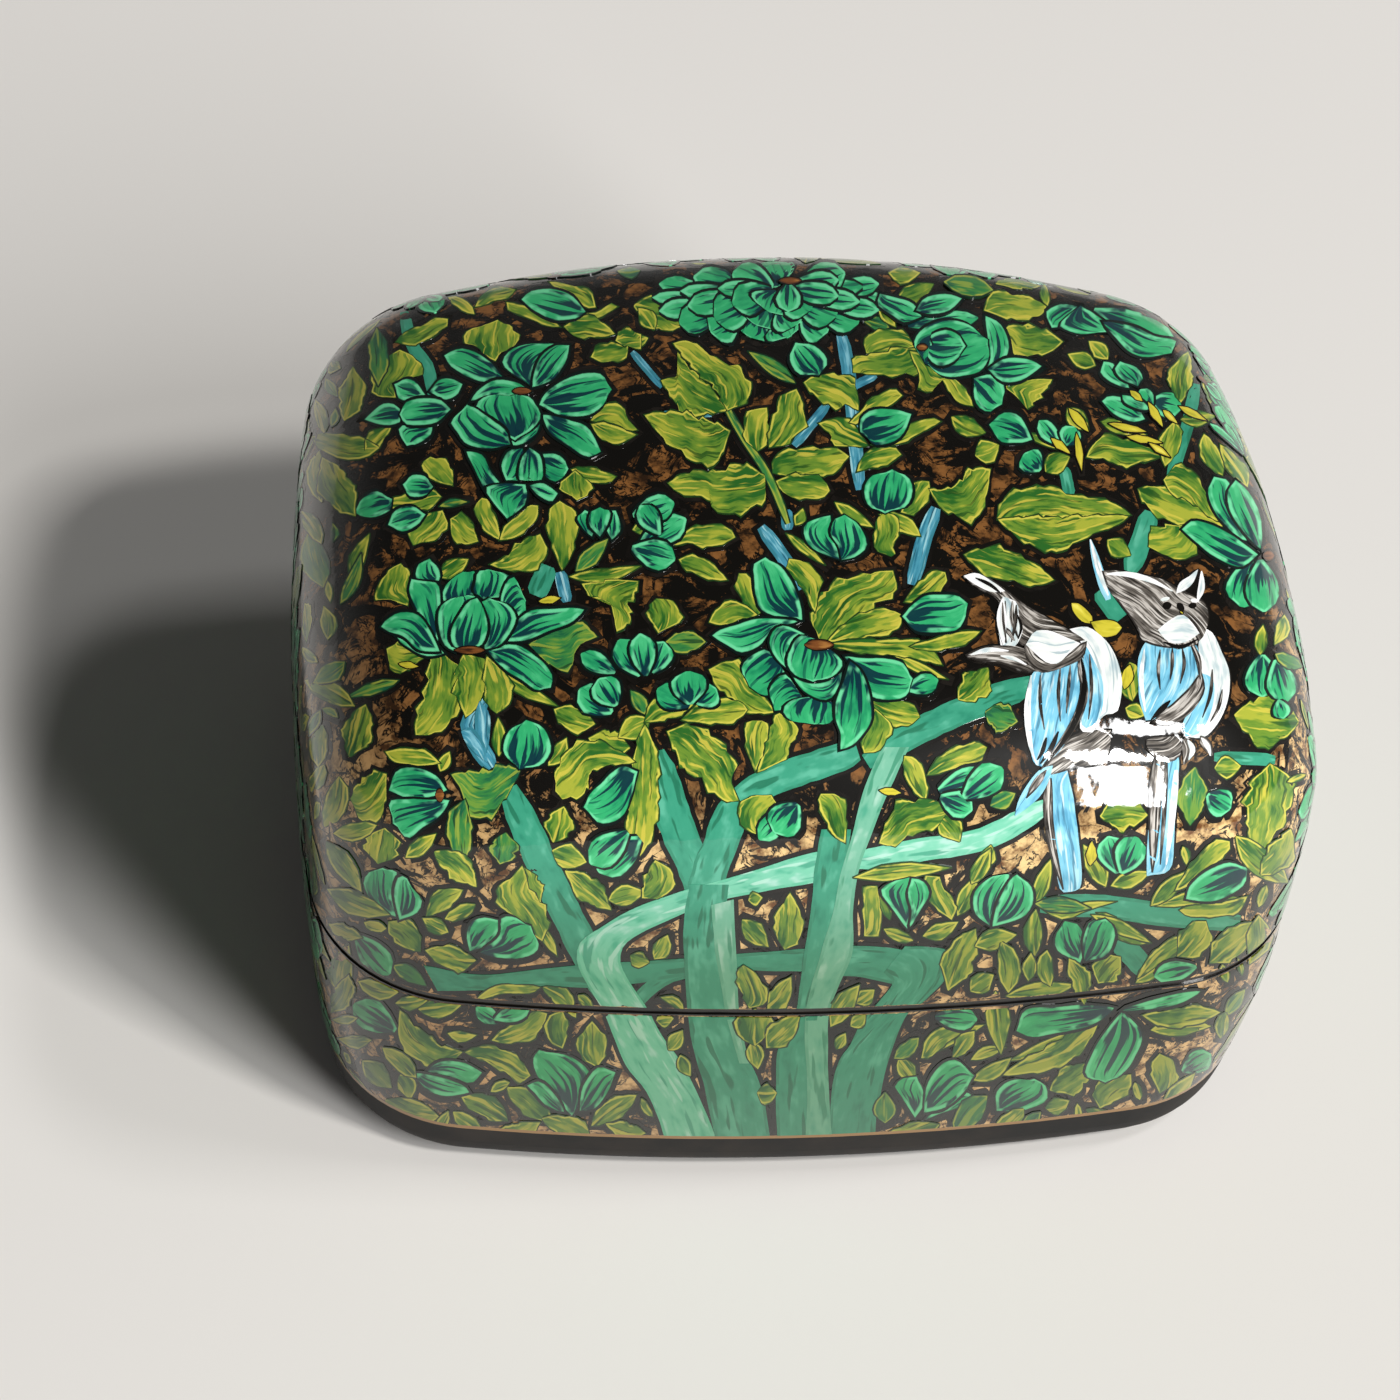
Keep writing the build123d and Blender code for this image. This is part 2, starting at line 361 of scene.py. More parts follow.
class Skin:
    """The box's painted outside, which answers where a ray meets it and how it faces there."""

    def __init__(self, names):
        points, normals, faces = [], [], []
        for name in names:
            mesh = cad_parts[name].data
            mesh.calc_loop_triangles()
            first = len(points)
            points += [vertex.co.copy() for vertex in mesh.vertices]
            for triangle in mesh.loop_triangles:
                faces.append([first + index for index in triangle.vertices])
                normals.append([Vector(mesh.corner_normals[loop].vector) for loop in triangle.loops])
        self.points, self.normals, self.faces = points, normals, faces
        self.tree = BVHTree.FromPolygons(points, faces)

    def meet(self, start, direction):
        """Return the place and the smooth outward normal where a ray first meets the skin, or None."""
        place, _, index, _ = self.tree.ray_cast(start, direction)
        if place is None:
            return None
        a, b, c = (self.points[k] for k in self.faces[index])
        whole = (b - a).cross(c - a)
        area = whole.length_squared
        if area == 0:
            return None
        share_a = (b - place).cross(c - place).dot(whole) / area
        share_b = (c - place).cross(a - place).dot(whole) / area
        first, second, third = self.normals[index]
        normal = first * share_a + second * share_b + third * (1 - share_a - share_b)
        normal.normalize()
        return place, normal


skin = Skin(["lid_painted_coat", "base_painted_coat", "foot_coat", "lid_lining", "base_lining"])


class PhotoSheet:
    """A sheet whose marks are laid out in the photograph's pixels, seen from its camera."""

    unit = CAMERA_DISTANCE / (PHOTO * CAMERA_FOCAL_SHARE)
    low_x, high_x, low_y, high_y = 290, 1320, 255, 1160

    def ray(self, x, y):
        """Return the ray through a pixel."""
        across = (x - PHOTO / 2) / (PHOTO * CAMERA_FOCAL_SHARE)
        above = (PHOTO / 2 - y) / (PHOTO * CAMERA_FOCAL_SHARE)
        return EYE, (RIGHT * across + UP * above - BACK).normalized()


class SideSheet:
    """A sheet laid out in millimetres on a plane that looks at the box from a side."""

    unit = MM
    low_x, high_x, low_y, high_y = -72, 72, -52, 52

    def __init__(self, azimuth, elevation):
        turn, tilt = math.radians(azimuth), math.radians(elevation)
        flat = math.cos(tilt)
        self.back = Vector((math.sin(turn) * flat, -math.cos(turn) * flat, math.sin(tilt)))
        self.right = Vector((math.cos(turn), math.sin(turn), 0))
        self.up = self.back.cross(self.right)
        self.centre = Vector((0, 0, (cad_low.z + cad_high.z) / 2))

    def ray(self, x, y):
        """Return the ray straight into the sheet at a place to the right of and below its middle."""
        start = self.centre + self.back * (4 * HALF_WIDTH)
        return start + self.right * (x * MM) - self.up * (y * MM), -self.back


photo = PhotoSheet()
sides = [SideSheet(-90, 15), SideSheet(180, 40), SideSheet(90, 15)]
LEAST_FACING = 0.28


def belongs(sheet, place, normal):
    """Tell whether a spot of the skin is painted from this sheet and not from another."""
    from_photo = normal.dot((EYE - place).normalized())
    if sheet is photo:
        return from_photo > LEAST_FACING
    return from_photo < LEAST_FACING + 0.04 and max(sides, key=lambda one: normal.dot(one.back)) is sheet


# Strokes of paint

LEAF = [0.06, 0.50, 0.82, 1.0, 0.99, 0.86, 0.64, 0.36, 0.05]
JAGGED = [0.10, 0.52, 0.86, 1.06, 1.12, 1.02, 0.78, 0.44, 0.04]
PETAL = [0.22, 0.48, 0.70, 0.87, 0.97, 1.0, 0.93, 0.72, 0.18]
OVAL = [0.12, 0.60, 0.86, 0.97, 1.0, 0.97, 0.86, 0.60, 0.12]
BLADE = [0.5, 0.9, 1.0, 0.98, 0.92, 0.82, 0.66, 0.42, 0.08]
STEM = [0.6, 0.92, 1.0, 1.0, 1.0, 1.0, 1.0, 1.0, 1.0, 1.0, 0.92, 0.6]
TAPER = [1.0, 0.94, 0.88, 0.82, 0.76]
WEDGE = [0.15, 0.4, 0.62, 0.82, 0.96, 1.0, 0.94, 0.72, 0.3]

LOBES = 2.3
LOBE_DEPTH = 0.30
SUNK = 0.06 * MM
CONTOUR_HEIGHT = 0.018 * MM
LOWEST = 0.022 * MM
LEVEL_STEP = 0.018 * MM
SIDE_STEP = 0.007 * MM
SMALL_LEAF = 4.5 * MM
COLUMNS = 7
CELL = 0.5 * MM
INK_WIDTH = {"petal": 0.45}
RAGGED = {"leaf": 0.08, "deep": 0.08, "petal": 0.025}
TEETH = {"leaf": 0.15, "deep": 0.15}
TOOTH_ROWS = 4
GROWTH = {"petal": 0.46, "leaf": 0.34, "deep": 0.34}
CONTOUR_WIDTH = 0.62


def boundary(rows):
    """Return the grid's outer points in order round it."""
    last = COLUMNS - 1
    ring = list(range(COLUMNS))
    ring += [row * COLUMNS + last for row in range(1, rows)]
    ring += [(rows - 1) * COLUMNS + column for column in range(last - 1, -1, -1)]
    ring += [row * COLUMNS for row in range(rows - 2, 0, -1)]
    return ring


class Layer:
    """All the strokes of one paint that ride on one body, gathered into one mesh."""

    def __init__(self):
        self.points, self.faces, self.way, self.share = [], [], [], []

    def extend(self, top, sunk, way, share, rows):
        """Add a closed stroke from its painted face and the rim sunk into the skin."""
        first = len(self.points)
        ring = boundary(rows)
        self.points += top + sunk
        self.way += way + [way[k] for k in ring]
        self.share += share + [share[k] for k in ring]
        for row in range(rows - 1):
            for column in range(COLUMNS - 1):
                corner = first + row * COLUMNS + column
                self.faces.append((corner, corner + 1, corner + COLUMNS + 1, corner + COLUMNS))
        below = first + len(top)
        for place in range(len(ring)):
            after = (place + 1) % len(ring)
            self.faces.append((first + ring[after], first + ring[place], below + place, below + after))
        self.faces.append(tuple(below + place for place in range(len(ring))))


layers = {}
CONTOUR, SIDE_CONTOUR = "ink", "side_ink"
covered = {}
reserved = set()


def cells_under(hits, rows):
    """Return the small cells of the skin that lie under a stroke."""
    grid = np.array([tuple(place) for place, _ in hits]).reshape(rows, COLUMNS, 3)
    fine_rows = np.linspace(0, rows - 1, rows * 2)
    low = np.minimum(fine_rows.astype(int), rows - 2)
    part = (fine_rows - low)[:, None, None]
    lines = grid[low] * (1 - part) + grid[low + 1] * part
    fine_columns = np.linspace(0, COLUMNS - 1, 13)
    low = np.minimum(fine_columns.astype(int), COLUMNS - 2)
    part = (fine_columns - low)[None, :, None]
    spots = lines[:, low] * (1 - part) + lines[:, low + 1] * part
    keys = np.unique(np.floor(spots.reshape(-1, 3) / CELL).astype(int), axis=0)
    return [tuple(key) for key in keys]


def smooth_path(points, count):
    """Return evenly spread points on a smooth line through the given ones."""
    points = [np.array(point, float) for point in points]
    if len(points) == 2:
        return [points[0] + (points[1] - points[0]) * k / (count - 1) for k in range(count)]
    ends = [2 * points[0] - points[1], *points, 2 * points[-1] - points[-2]]
    fine = []
    for k in range(len(points) - 1):
        a, b, c, d = ends[k:k + 4]
        for step in range(12):
            t = step / 12
            fine.append(0.5 * (2 * b + (c - a) * t + (2 * a - 5 * b + 4 * c - d) * t * t
                               + (3 * b - 3 * c + d - a) * t ** 3))
    fine.append(points[-1])
    lengths = np.concatenate([[0], np.cumsum([np.linalg.norm(q - p) for p, q in zip(fine, fine[1:])])])
    wanted = np.linspace(0, lengths[-1], count)
    xs = np.interp(wanted, lengths, [p[0] for p in fine])
    ys = np.interp(wanted, lengths, [p[1] for p in fine])
    return [np.array(pair) for pair in zip(xs, ys)]


def lay(sheet, paint, grid, most_cover=None, contour=CONTOUR_WIDTH, height=None):
    """Lay one closed patch of raised paint, with an ink contour under it. Return whether it fits.

    The grid holds the sheet's places, row after row from base to tip, across each row.
    """
    rows = len(grid)
    hits = [skin.meet(*sheet.ray(x, y)) for x, y in grid.reshape(-1, 2)]
    if None in hits:
        return False
    facing = min(normal.dot(-sheet.ray(*spot)[1]) for spot, (_, normal) in zip(grid.reshape(-1, 2), hits))
    if facing < (0.10 if sheet is photo else 0.30):
        return False
    scale = sheet.unit / MM
    middles = grid[:, COLUMNS // 2]
    halves = np.linalg.norm(grid[:, -1] - grid[:, 0], axis=1) / 2 * scale
    reached = np.concatenate([[0], np.cumsum(np.linalg.norm(np.diff(middles, axis=0), axis=1))]) * scale
    if height is None:
        cells = cells_under(hits, rows)
        if sheet is not photo and sum(cell in reserved for cell in cells) > 0.03 * len(cells):
            return False
        if most_cover is not None and sum(cell in covered for cell in cells) > most_cover * len(cells):
            return False
        level = max((covered.get(cell, 0) for cell in cells), default=0) + 1
        for cell in cells:
            covered[cell] = level
        height = LOWEST + level * (LEVEL_STEP if sheet is photo else SIDE_STEP)
        if contour:
            lay(sheet, CONTOUR if sheet is photo else SIDE_CONTOUR, grown(grid, contour / scale),
                height=CONTOUR_HEIGHT)

    top = [place + normal * height for place, normal in hits]
    sunk = [hits[k][0] - hits[k][1] * SUNK for k in boundary(rows)]
    seed = random.random()
    way, share = [], []
    for row in range(rows):
        for column in range(COLUMNS):
            across = -1 + 2 * column / (COLUMNS - 1)
            way.append((reached[row], across * halves[row], seed))
            share.append((row / (rows - 1), across, (1 - abs(across)) * halves[row]))
    heights = [place.z for place, _ in hits]
    for body, low, high in (("lid", SEAM_HIGH, cad_high.z * 2), ("base", FOOT_TOP, SEAM_LOW)):
        if max(heights) > low and min(heights) < high:
            layers.setdefault((body, paint), Layer()).extend(top, sunk, way, share, rows)
    return True


def grown(grid, margin):
    """Return a grid of places widened by a margin all round."""
    side = grid[:, -1] - grid[:, 0]
    side = side / np.maximum(np.linalg.norm(side, axis=1), 1e-6)[:, None]
    wide = grid + side[:, None, :] * (np.linspace(-1, 1, COLUMNS) * margin)[None, :, None]
    middles = grid[:, COLUMNS // 2]
    for row, inside in ((0, 1), (-1, -2)):
        out = middles[row] - middles[inside]
        wide[row] += out / max(np.linalg.norm(out), 1e-6) * margin
    return wide


def stroke(sheet, paint, points, width, profile=LEAF, ragged=0.06, most_cover=None, contour=CONTOUR_WIDTH):
    """Lay one brush stroke along a line of places. Return whether there was room for it."""
    spot = (np.array(points[0]) + np.array(points[-1])) / 2 if len(points) == 2 else points[len(points) // 2]
    middle = skin.meet(*sheet.ray(*spot))
    if middle is None:
        return False
    if (sheet is not photo or most_cover is not None) and not belongs(sheet, *middle):
        return False
    if most_cover is not None and tuple(int(math.floor(c / CELL)) for c in middle[0]) in covered:
        return False
    scale = sheet.unit / MM
    length = sum(math.dist(a, b) for a, b in zip(points, points[1:])) * scale
    lobed = profile is JAGGED
    fewest = 20 if lobed else 8 if most_cover is None else 6
    rows = max(fewest, min(60, int(length / 1.1)))
    path = smooth_path(points, rows)
    shares = np.interp(np.linspace(0, 1, rows), np.linspace(0, 1, len(profile)), profile)
    phases = random.random(), random.random()
    grid = np.empty((rows, COLUMNS, 2))
    for k, place in enumerate(path):
        step = path[min(k + 1, rows - 1)] - path[max(k - 1, 0)]
        step = step / max(np.linalg.norm(step), 1e-9)
        normal = np.array([-step[1], step[0]])
        left, right = (
            width / 2 * shares[k] * (1 + random.uniform(-ragged, ragged))
            * (1 - lobed * LOBE_DEPTH * (1 - abs(math.sin(math.pi * (LOBES * k / rows + phase))) ** 0.7))
            + INK_WIDTH.get(paint, 0.1) / scale / 2 for phase in phases)
        for column in range(COLUMNS):
            across = -1 + 2 * column / (COLUMNS - 1)
            grid[k, column] = place + normal * across * (left if across < 0 else right)
    return lay(sheet, paint, grid, most_cover, contour)


def patch(sheet, paint, left, right, growth=None, contour=CONTOUR_WIDTH):
    """Lay a leaf or petal between its two edges, each given by places from its base to its tip."""
    scale = sheet.unit / MM
    length = max(sum(math.dist(a, b) for a, b in zip(edge, edge[1:])) for edge in (left, right)) * scale
    rows = max(10, min(60, int(length / 0.7)))
    left, right = (np.array(smooth_path(edge, rows)) for edge in (left, right))
    shares = np.linspace(0, 1, COLUMNS)[None, :, None]
    growth = GROWTH.get(paint, 0.1) if growth is None else growth
    grid = grown(left[:, None] * (1 - shares) + right[:, None] * shares, growth / scale)
    # A brush never leaves a quite even edge
    side = grid[:, -1] - grid[:, 0]
    for column, way in ((0, -1), (-1, 1)):
        wander = np.interp(np.arange(rows), np.arange(0, rows + 3, 3),
                           [random.uniform(-1, 1) * RAGGED.get(paint, 0.02) for _ in range(0, rows + 3, 3)])
        wander += ((np.arange(rows) / TOOTH_ROWS + random.random()) % 1 - 0.6) * TEETH.get(paint, 0.0)
        grid[1:-1, column] += (way * wander[:, None] * side)[1:-1]
    return lay(sheet, paint, grid, contour=contour)


def away(x, y, angle, distance):
    """Return the place at a distance along an angle in degrees, counted from the right and upwards."""
    turn = math.radians(angle)
    return x + distance * math.cos(turn), y - distance * math.sin(turn)


def blade(sheet, paint, x, y, tip_x, tip_y, width, profile=LEAF, bend=None, ragged=0.08, most_cover=None):
    """Lay a leaf or petal from its base to its tip, bowed a little to one side."""
    bend = random.uniform(-0.07, 0.07) if bend is None else bend
    middle = ((x + tip_x) / 2 + (tip_y - y) * bend, (y + tip_y) / 2 - (tip_x - x) * bend)
    return stroke(sheet, paint, [(x, y), middle, (tip_x, tip_y)], width, profile, ragged, most_cover)


def dot(sheet, paint, x, y, across, high):
    """Lay a small oval dab."""
    stroke(sheet, paint, [(x - across / 2, y), (x + across / 2, y)], high, OVAL, 0.05, contour=0.2)


def ring_of_petals(sheet, x, y, across, high, inner, outer, count, turn=0.0):
    """Lay a ring of petals round a heart on a disc that is seen flattened."""
    for k in range(count):
        angle = math.radians(turn + 360 * k / count)
        wide = math.hypot(across * math.sin(angle), high * math.cos(angle))
        places = [(x + share * across * math.cos(angle), y - share * high * math.sin(angle))
                  for share in (inner, outer)]
        stroke(sheet, "petal", places, 2 * math.pi * outer / count * wide * 1.15, PETAL, 0.05)


def rosette(sheet, x, y, across, high, counts=(13, 10, 7)):
    """Lay a many-petalled flower seen from above."""
    for ring, count in enumerate(counts):
        outer = 1.0 - 0.29 * ring
        ring_of_petals(sheet, x, y, across, high, max(outer - 0.5, 0.05), outer, count, 11.0 * ring)
    dot(sheet, "heart", x, y, 0.24 * across, 0.2 * high)


def fan(sheet, x, y, angle, size, spread=200, count=7):
    """Lay an open flower seen from the side: two tiers of petals that fan from its heart."""
    for reach, breadth, number in ((1.0, 0.50, count), (0.66, 0.46, count - 2)):
        for k in sorted(range(number), key=lambda k: -abs(k - (number - 1) / 2)):
            turn = angle + spread * reach ** 0.3 * (k / (number - 1) - 0.5)
            tip = away(x, y, turn, size * reach * random.uniform(0.9, 1.08))
            blade(sheet, "petal", *away(x, y, turn, 0.06 * size), *tip, size * breadth * reach, PETAL)
    dot(sheet, "heart", x, y, 0.2 * size, 0.12 * size)


def bud(sheet, x, y, angle, size):
    """Lay a round bud of three overlapping petals in a cup of small leaves."""
    base = away(x, y, angle + 180, size * 0.45)
    for turn in (-58, 58):
        blade(sheet, "leaf", *base, *away(*base, angle + turn, size * 0.7), size * 0.30)
    for turn in (24, -24, 0):
        blade(sheet, "petal", *base, *away(*base, angle + turn, size), size * 0.52, PETAL, 0.0)


def burst(sheet, x, y, angle, size, spread=120, count=5, paint="leaf"):
    """Lay a jagged leaf of several pointed lobes that fan from one place."""
    for k in sorted(range(count), key=lambda k: -abs(k - (count - 1) / 2)):
        turn = angle + spread * (k / (count - 1) - 0.5)
        length = size * (1.0 - 0.28 * abs(2 * k / (count - 1) - 1)) * random.uniform(0.9, 1.1)
        blade(sheet, paint, x, y, *away(x, y, turn, length), size * 0.36, JAGGED)


# The picture as the photograph shows it, in its pixels. A leaf or petal is base x, base y, tip x,
# tip y, width. The first ones lie lowest.

STEMS = [
    ("twig", 7, [(632, 352), (662, 387)]),
    ("twig", 5, [(664, 413), (712, 415)]),
    ("twig", 9, [(828, 404), (794, 446)]),
    ("twig", 8, [(850, 388), (876, 375)]),
    ("twig", 13, [(840, 330), (848, 368), (856, 450), (860, 490)]),
    ("twig", 15, [(936, 508), (924, 540), (912, 585)]),
    ("twig", 11, [(786, 510), (788, 530)]),
    ("twig", 13, [(761, 527), (785, 560), (800, 590)]),
    ("twig", 12, [(560, 572), (567, 602)]),
    ("twig", 18, [(484, 700), (470, 728), (492, 768)]),
    ("deep", 9, [(722, 400), (745, 440), (766, 472), (778, 498), (788, 524)]),
    ("stem", 12, [(404, 312), (412, 345), (428, 368), (432, 395)]),
    ("stem", 20, [(548, 566), (536, 596)]),
    ("stem", 12, [(1196, 384), (1186, 430), (1170, 480)]),
    ("stem", 11, [(1064, 468), (1070, 496)]),
    ("stem", 20, [(1151, 512), (1130, 572)]),
    ("stem", 22, [(1100, 590), (1122, 618)]),
    ("stem", 12, [(1214, 757), (1275, 760)]),
    ("stem", 22, [(1118, 940), (1148, 972)]),
    ("stem", 30, [(508, 788), (536, 850), (562, 905), (590, 960), (614, 1006)]),
    ("stem", 34, [(654, 752), (676, 825), (700, 880), (708, 930)]),
    ("stem", 34, [(735, 800), (722, 840), (706, 885), (706, 930)]),
    ("stem", 28, [(738, 796), (780, 778), (820, 764), (858, 752)]),
    ("stem", 26, [(866, 762), (905, 738), (960, 712), (1032, 684)]),
    ("branch", 22, [(852, 862), (920, 850), (985, 838), (1046, 806)]),
    ("stem", 22, [(1040, 905), (1100, 906), (1160, 914), (1240, 922)]),
    ("stem", 14, [(632, 1006), (648, 990), (668, 976), (700, 968)]),
    ("leaf", 12, [(1035, 903), (1062, 914), (1085, 906), (1118, 901)]),
    ("leaf", 10, [(1095, 912), (1112, 918), (1120, 935), (1140, 943), (1150, 943)]),
    ("leaf", 10, [(1022, 432), (1046, 442), (1070, 452)]),
]

# The thick stems, each by its two edges from the foot upwards
TRUNKS = [
    ("stem", "425,966 478,975 538,970 597,964 640,962 695,958", "438,990 492,989 547,985 590,987 630,983 695,973"),
    ("stem", "733,955 770,952 810,949 852,946 890,948 925,956", "733,968 770,970 805,971 835,975 862,976 893,983"),
    ("stem", "829,1146 832,1095 840,1060 852,1042 865,1018 880,1000 893,982 885,972",
     "872,1146 880,1090 892,1050 906,1015 925,1000 946,975 946,950 905,947"),
    ("branch", "668,1146 650,1095 628,1066 614,1035 604,1012 592,990 578,964 582,942 605,925 634,909 680,892 736,876 "
     "800,857 830,850",
     "718,1146 700,1100 680,1062 660,1032 648,1010 636,992 622,968 620,954 628,940 662,922 708,903 745,894 "
     "812,882 840,877"),
    ("stem", "718,1146 705,1085 694,1045 688,1010 686,970 684,930 690,885",
     "770,1146 760,1085 740,1045 734,1010 726,970 724,930 728,885"),
    ("pale", "740,1062 727,1015 722,985 716,950 712,905", "748,1062 739,1015 737,985 735,950 733,900"),
    ("stem", "778,1146 777,1090 778,1050 794,1020 800,990 805,950 812,910 815,870 822,830",
     "810,1146 810,1090 810,1050 816,1020 822,990 830,950 836,910 844,870 850,830"),
    ("pale", "806,1146 808,1090 806,1050 806,1015 812,985 822,950 834,910 842,870 854,830 864,790 882,748",
     "832,1146 828,1090 827,1050 828,1015 838,985 852,950 852,910 858,870 872,830 886,795 908,748"),
]

LEAVES = [

    (568, 275, 645, 281, 14),
    (438, 507, 470, 502, 8),
    (575, 572, 609, 538, 16), (350, 580, 370, 533, 14),
    (634, 306, 690, 324, 34), (655, 330, 638, 308, 16), (631, 343, 649, 338, 11),
    (796, 384, 747, 351, 14),
    (890, 328, 859, 318, 12),
    (878, 306, 896, 328, 12), (896, 300, 934, 284, 18),
    (834, 502, 874, 528, 13),
    (785, 533, 826, 566, 9), (795, 526, 803, 508, 11),
    (632, 530, 657, 524, 13), (951, 417, 986, 433, 18),
    (974, 272, 1010, 290, 10), (1096, 366, 1067, 354, 15),
    (1108, 360, 1088, 341, 15), (1067, 408, 1089, 431, 17),
    (1180, 420, 1216, 416, 14),
    (975, 456, 999, 445, 22),
    (1107, 540, 1131, 556, 17),
    (1252, 492, 1230, 438, 22), (1045, 472, 1070, 457, 20),
    (340, 605, 362, 552, 13), (440, 578, 469, 559, 17),
    (490, 662, 559, 707, 13), (499, 757, 498, 717, 13),
    (548, 766, 567, 737, 15), (440, 772, 450, 751, 12),
    (385, 828, 378, 864, 32), (405, 858, 437, 833, 15), (350, 757, 366, 704, 26), (500, 864, 506, 832, 25),
    (553, 842, 564, 806, 24), (630, 748, 588, 738, 24),
    (568, 577, 642, 566, 13), (552, 850, 587, 862, 22),
    (400, 680, 345, 698, 12),
    (645, 715, 630, 690, 14), (650, 720, 618, 738, 22),
    (893, 655, 949, 680, 10),
    (938, 815, 960, 842, 22), (958, 700, 988, 668, 26),
    (985, 712, 1018, 722, 25), (990, 806, 1016, 793, 17), (985, 867, 991, 844, 14),
    (1100, 816, 1148, 815, 30), (1125, 708, 1145, 716, 15), (1298, 722, 1234, 715, 46), (1260, 656, 1263, 624, 12),
    (1293, 800, 1284, 872, 22), (1214, 768, 1241, 766, 20), (1195, 767, 1190, 826, 25),
    (540, 906, 522, 866, 24), (538, 925, 558, 957, 10),
    (392, 965, 427, 986, 15),
    (418, 1009, 463, 1004, 19),
    (362, 1060, 392, 1088, 20), (400, 1074, 411, 1100, 17),
    (608, 900, 646, 892, 19), (654, 959, 668, 934, 17), (630, 955, 650, 962, 15),
    (742, 919, 769, 947, 19), (748, 900, 763, 897, 13),
    (752, 1040, 758, 1069, 17),
    (757, 1092, 777, 1092, 19), (656, 1020, 674, 1018, 15), (668, 1050, 683, 1029, 15), (680, 1054, 691, 1076, 13),
    (855, 1003, 875, 989, 15), (850, 1026, 866, 1013, 13), (836, 1049, 846, 1032, 11),
    (890, 920, 877, 889, 11), (922, 936, 959, 921, 15), (852, 877, 952, 867, 15),
    (957, 916, 977, 874, 16), (948, 990, 976, 928, 28), (925, 1055, 986, 1024, 13), (898, 1059, 916, 1081, 17),
    (885, 1123, 885, 1091, 21),
    (971, 884, 991, 847, 15), (1034, 905, 1051, 858, 15), (1033, 903, 1092, 908, 15), (1035, 956, 1036, 908, 17),
    (1090, 914, 1152, 943, 13), (1106, 887, 1083, 844, 19), (1110, 886, 1152, 871, 15), (1154, 906, 1242, 898, 13),
    (1150, 906, 1187, 870, 15),
    (1135, 983, 1172, 953, 13), (1098, 983, 1121, 956, 25), (1005, 996, 1077, 984, 17), (970, 991, 994, 974, 19),
    (974, 946, 1017, 934, 19), (1150, 1030, 1212, 1026, 17),
    (1095, 1028, 1008, 1061, 15), (970, 1060, 1007, 1047, 11), (972, 1080, 1012, 1057, 15),
    (1045, 1108, 1070, 1100, 15), (1050, 1090, 1092, 1064, 25),
    (1225, 1016, 1246, 988, 13),
]

PETALS = [
    # Far left
    # Upper left flower with its lobe and cup
    # Small buds below it
    # Flower in the middle left
    (640, 545, 686, 519, 26), (633, 516, 674, 503, 24), (632, 548, 675, 560, 27), (660, 535, 640, 506, 20),
    # Buds and rose at the top
    (908, 326, 978, 318, 18),
    # Star flower at the top right
    (1094, 310, 1174, 340, 26),
    (1150, 401, 1181, 409, 24), (1152, 408, 1140, 390, 16),
    (1060, 446, 1039, 421, 17), (1065, 446, 1074, 427, 21),
    (1040, 471, 1024, 454, 24),
    # Right edge flower
    (1252, 560, 1242, 607, 36), (1260, 560, 1264, 612, 30), (1272, 590, 1296, 642, 15),
    # Large flower on the left
    # Buds and side flower below it
    # Three buds above the leaf column
    (615, 673, 581, 654, 19), (640, 676, 619, 640, 26), (652, 673, 664, 642, 26), (646, 676, 640, 634, 24),
    (612, 713, 579, 690, 28), (616, 706, 599, 679, 28), (690, 706, 657, 690, 24), (696, 704, 716, 689, 26),
    (690, 705, 688, 672, 32),
    (640, 838, 598, 871, 32), (628, 832, 590, 863, 28),
    # Large flower in the middle
    (905, 690, 938, 680, 19),
    # Middle right
    (790, 808, 759, 839, 22), (798, 804, 774, 832, 32),
    (938, 790, 987, 774, 25), (940, 796, 972, 810, 25), (963, 797, 1002, 768, 28), (1207, 795, 1230, 809, 27),
    (1262, 655, 1262, 697, 32), (1275, 660, 1286, 702, 27), (1278, 700, 1283, 719, 17),
    # Lower left
    (356, 935, 390, 974, 26),
    # Bud in the middle low, and the two on the right
    (1118, 873, 1108, 836, 28), (1121, 873, 1137, 837, 28),
    (1196, 966, 1154, 976, 21),
    # On the base
    (396, 1030, 354, 1004, 28), (500, 1023, 476, 1007, 17), (494, 1019, 530, 1008, 17),
    (935, 1016, 977, 1019, 22),
    (1182, 1071, 1211, 1054, 21),
    (1246, 986, 1263, 950, 15),
]

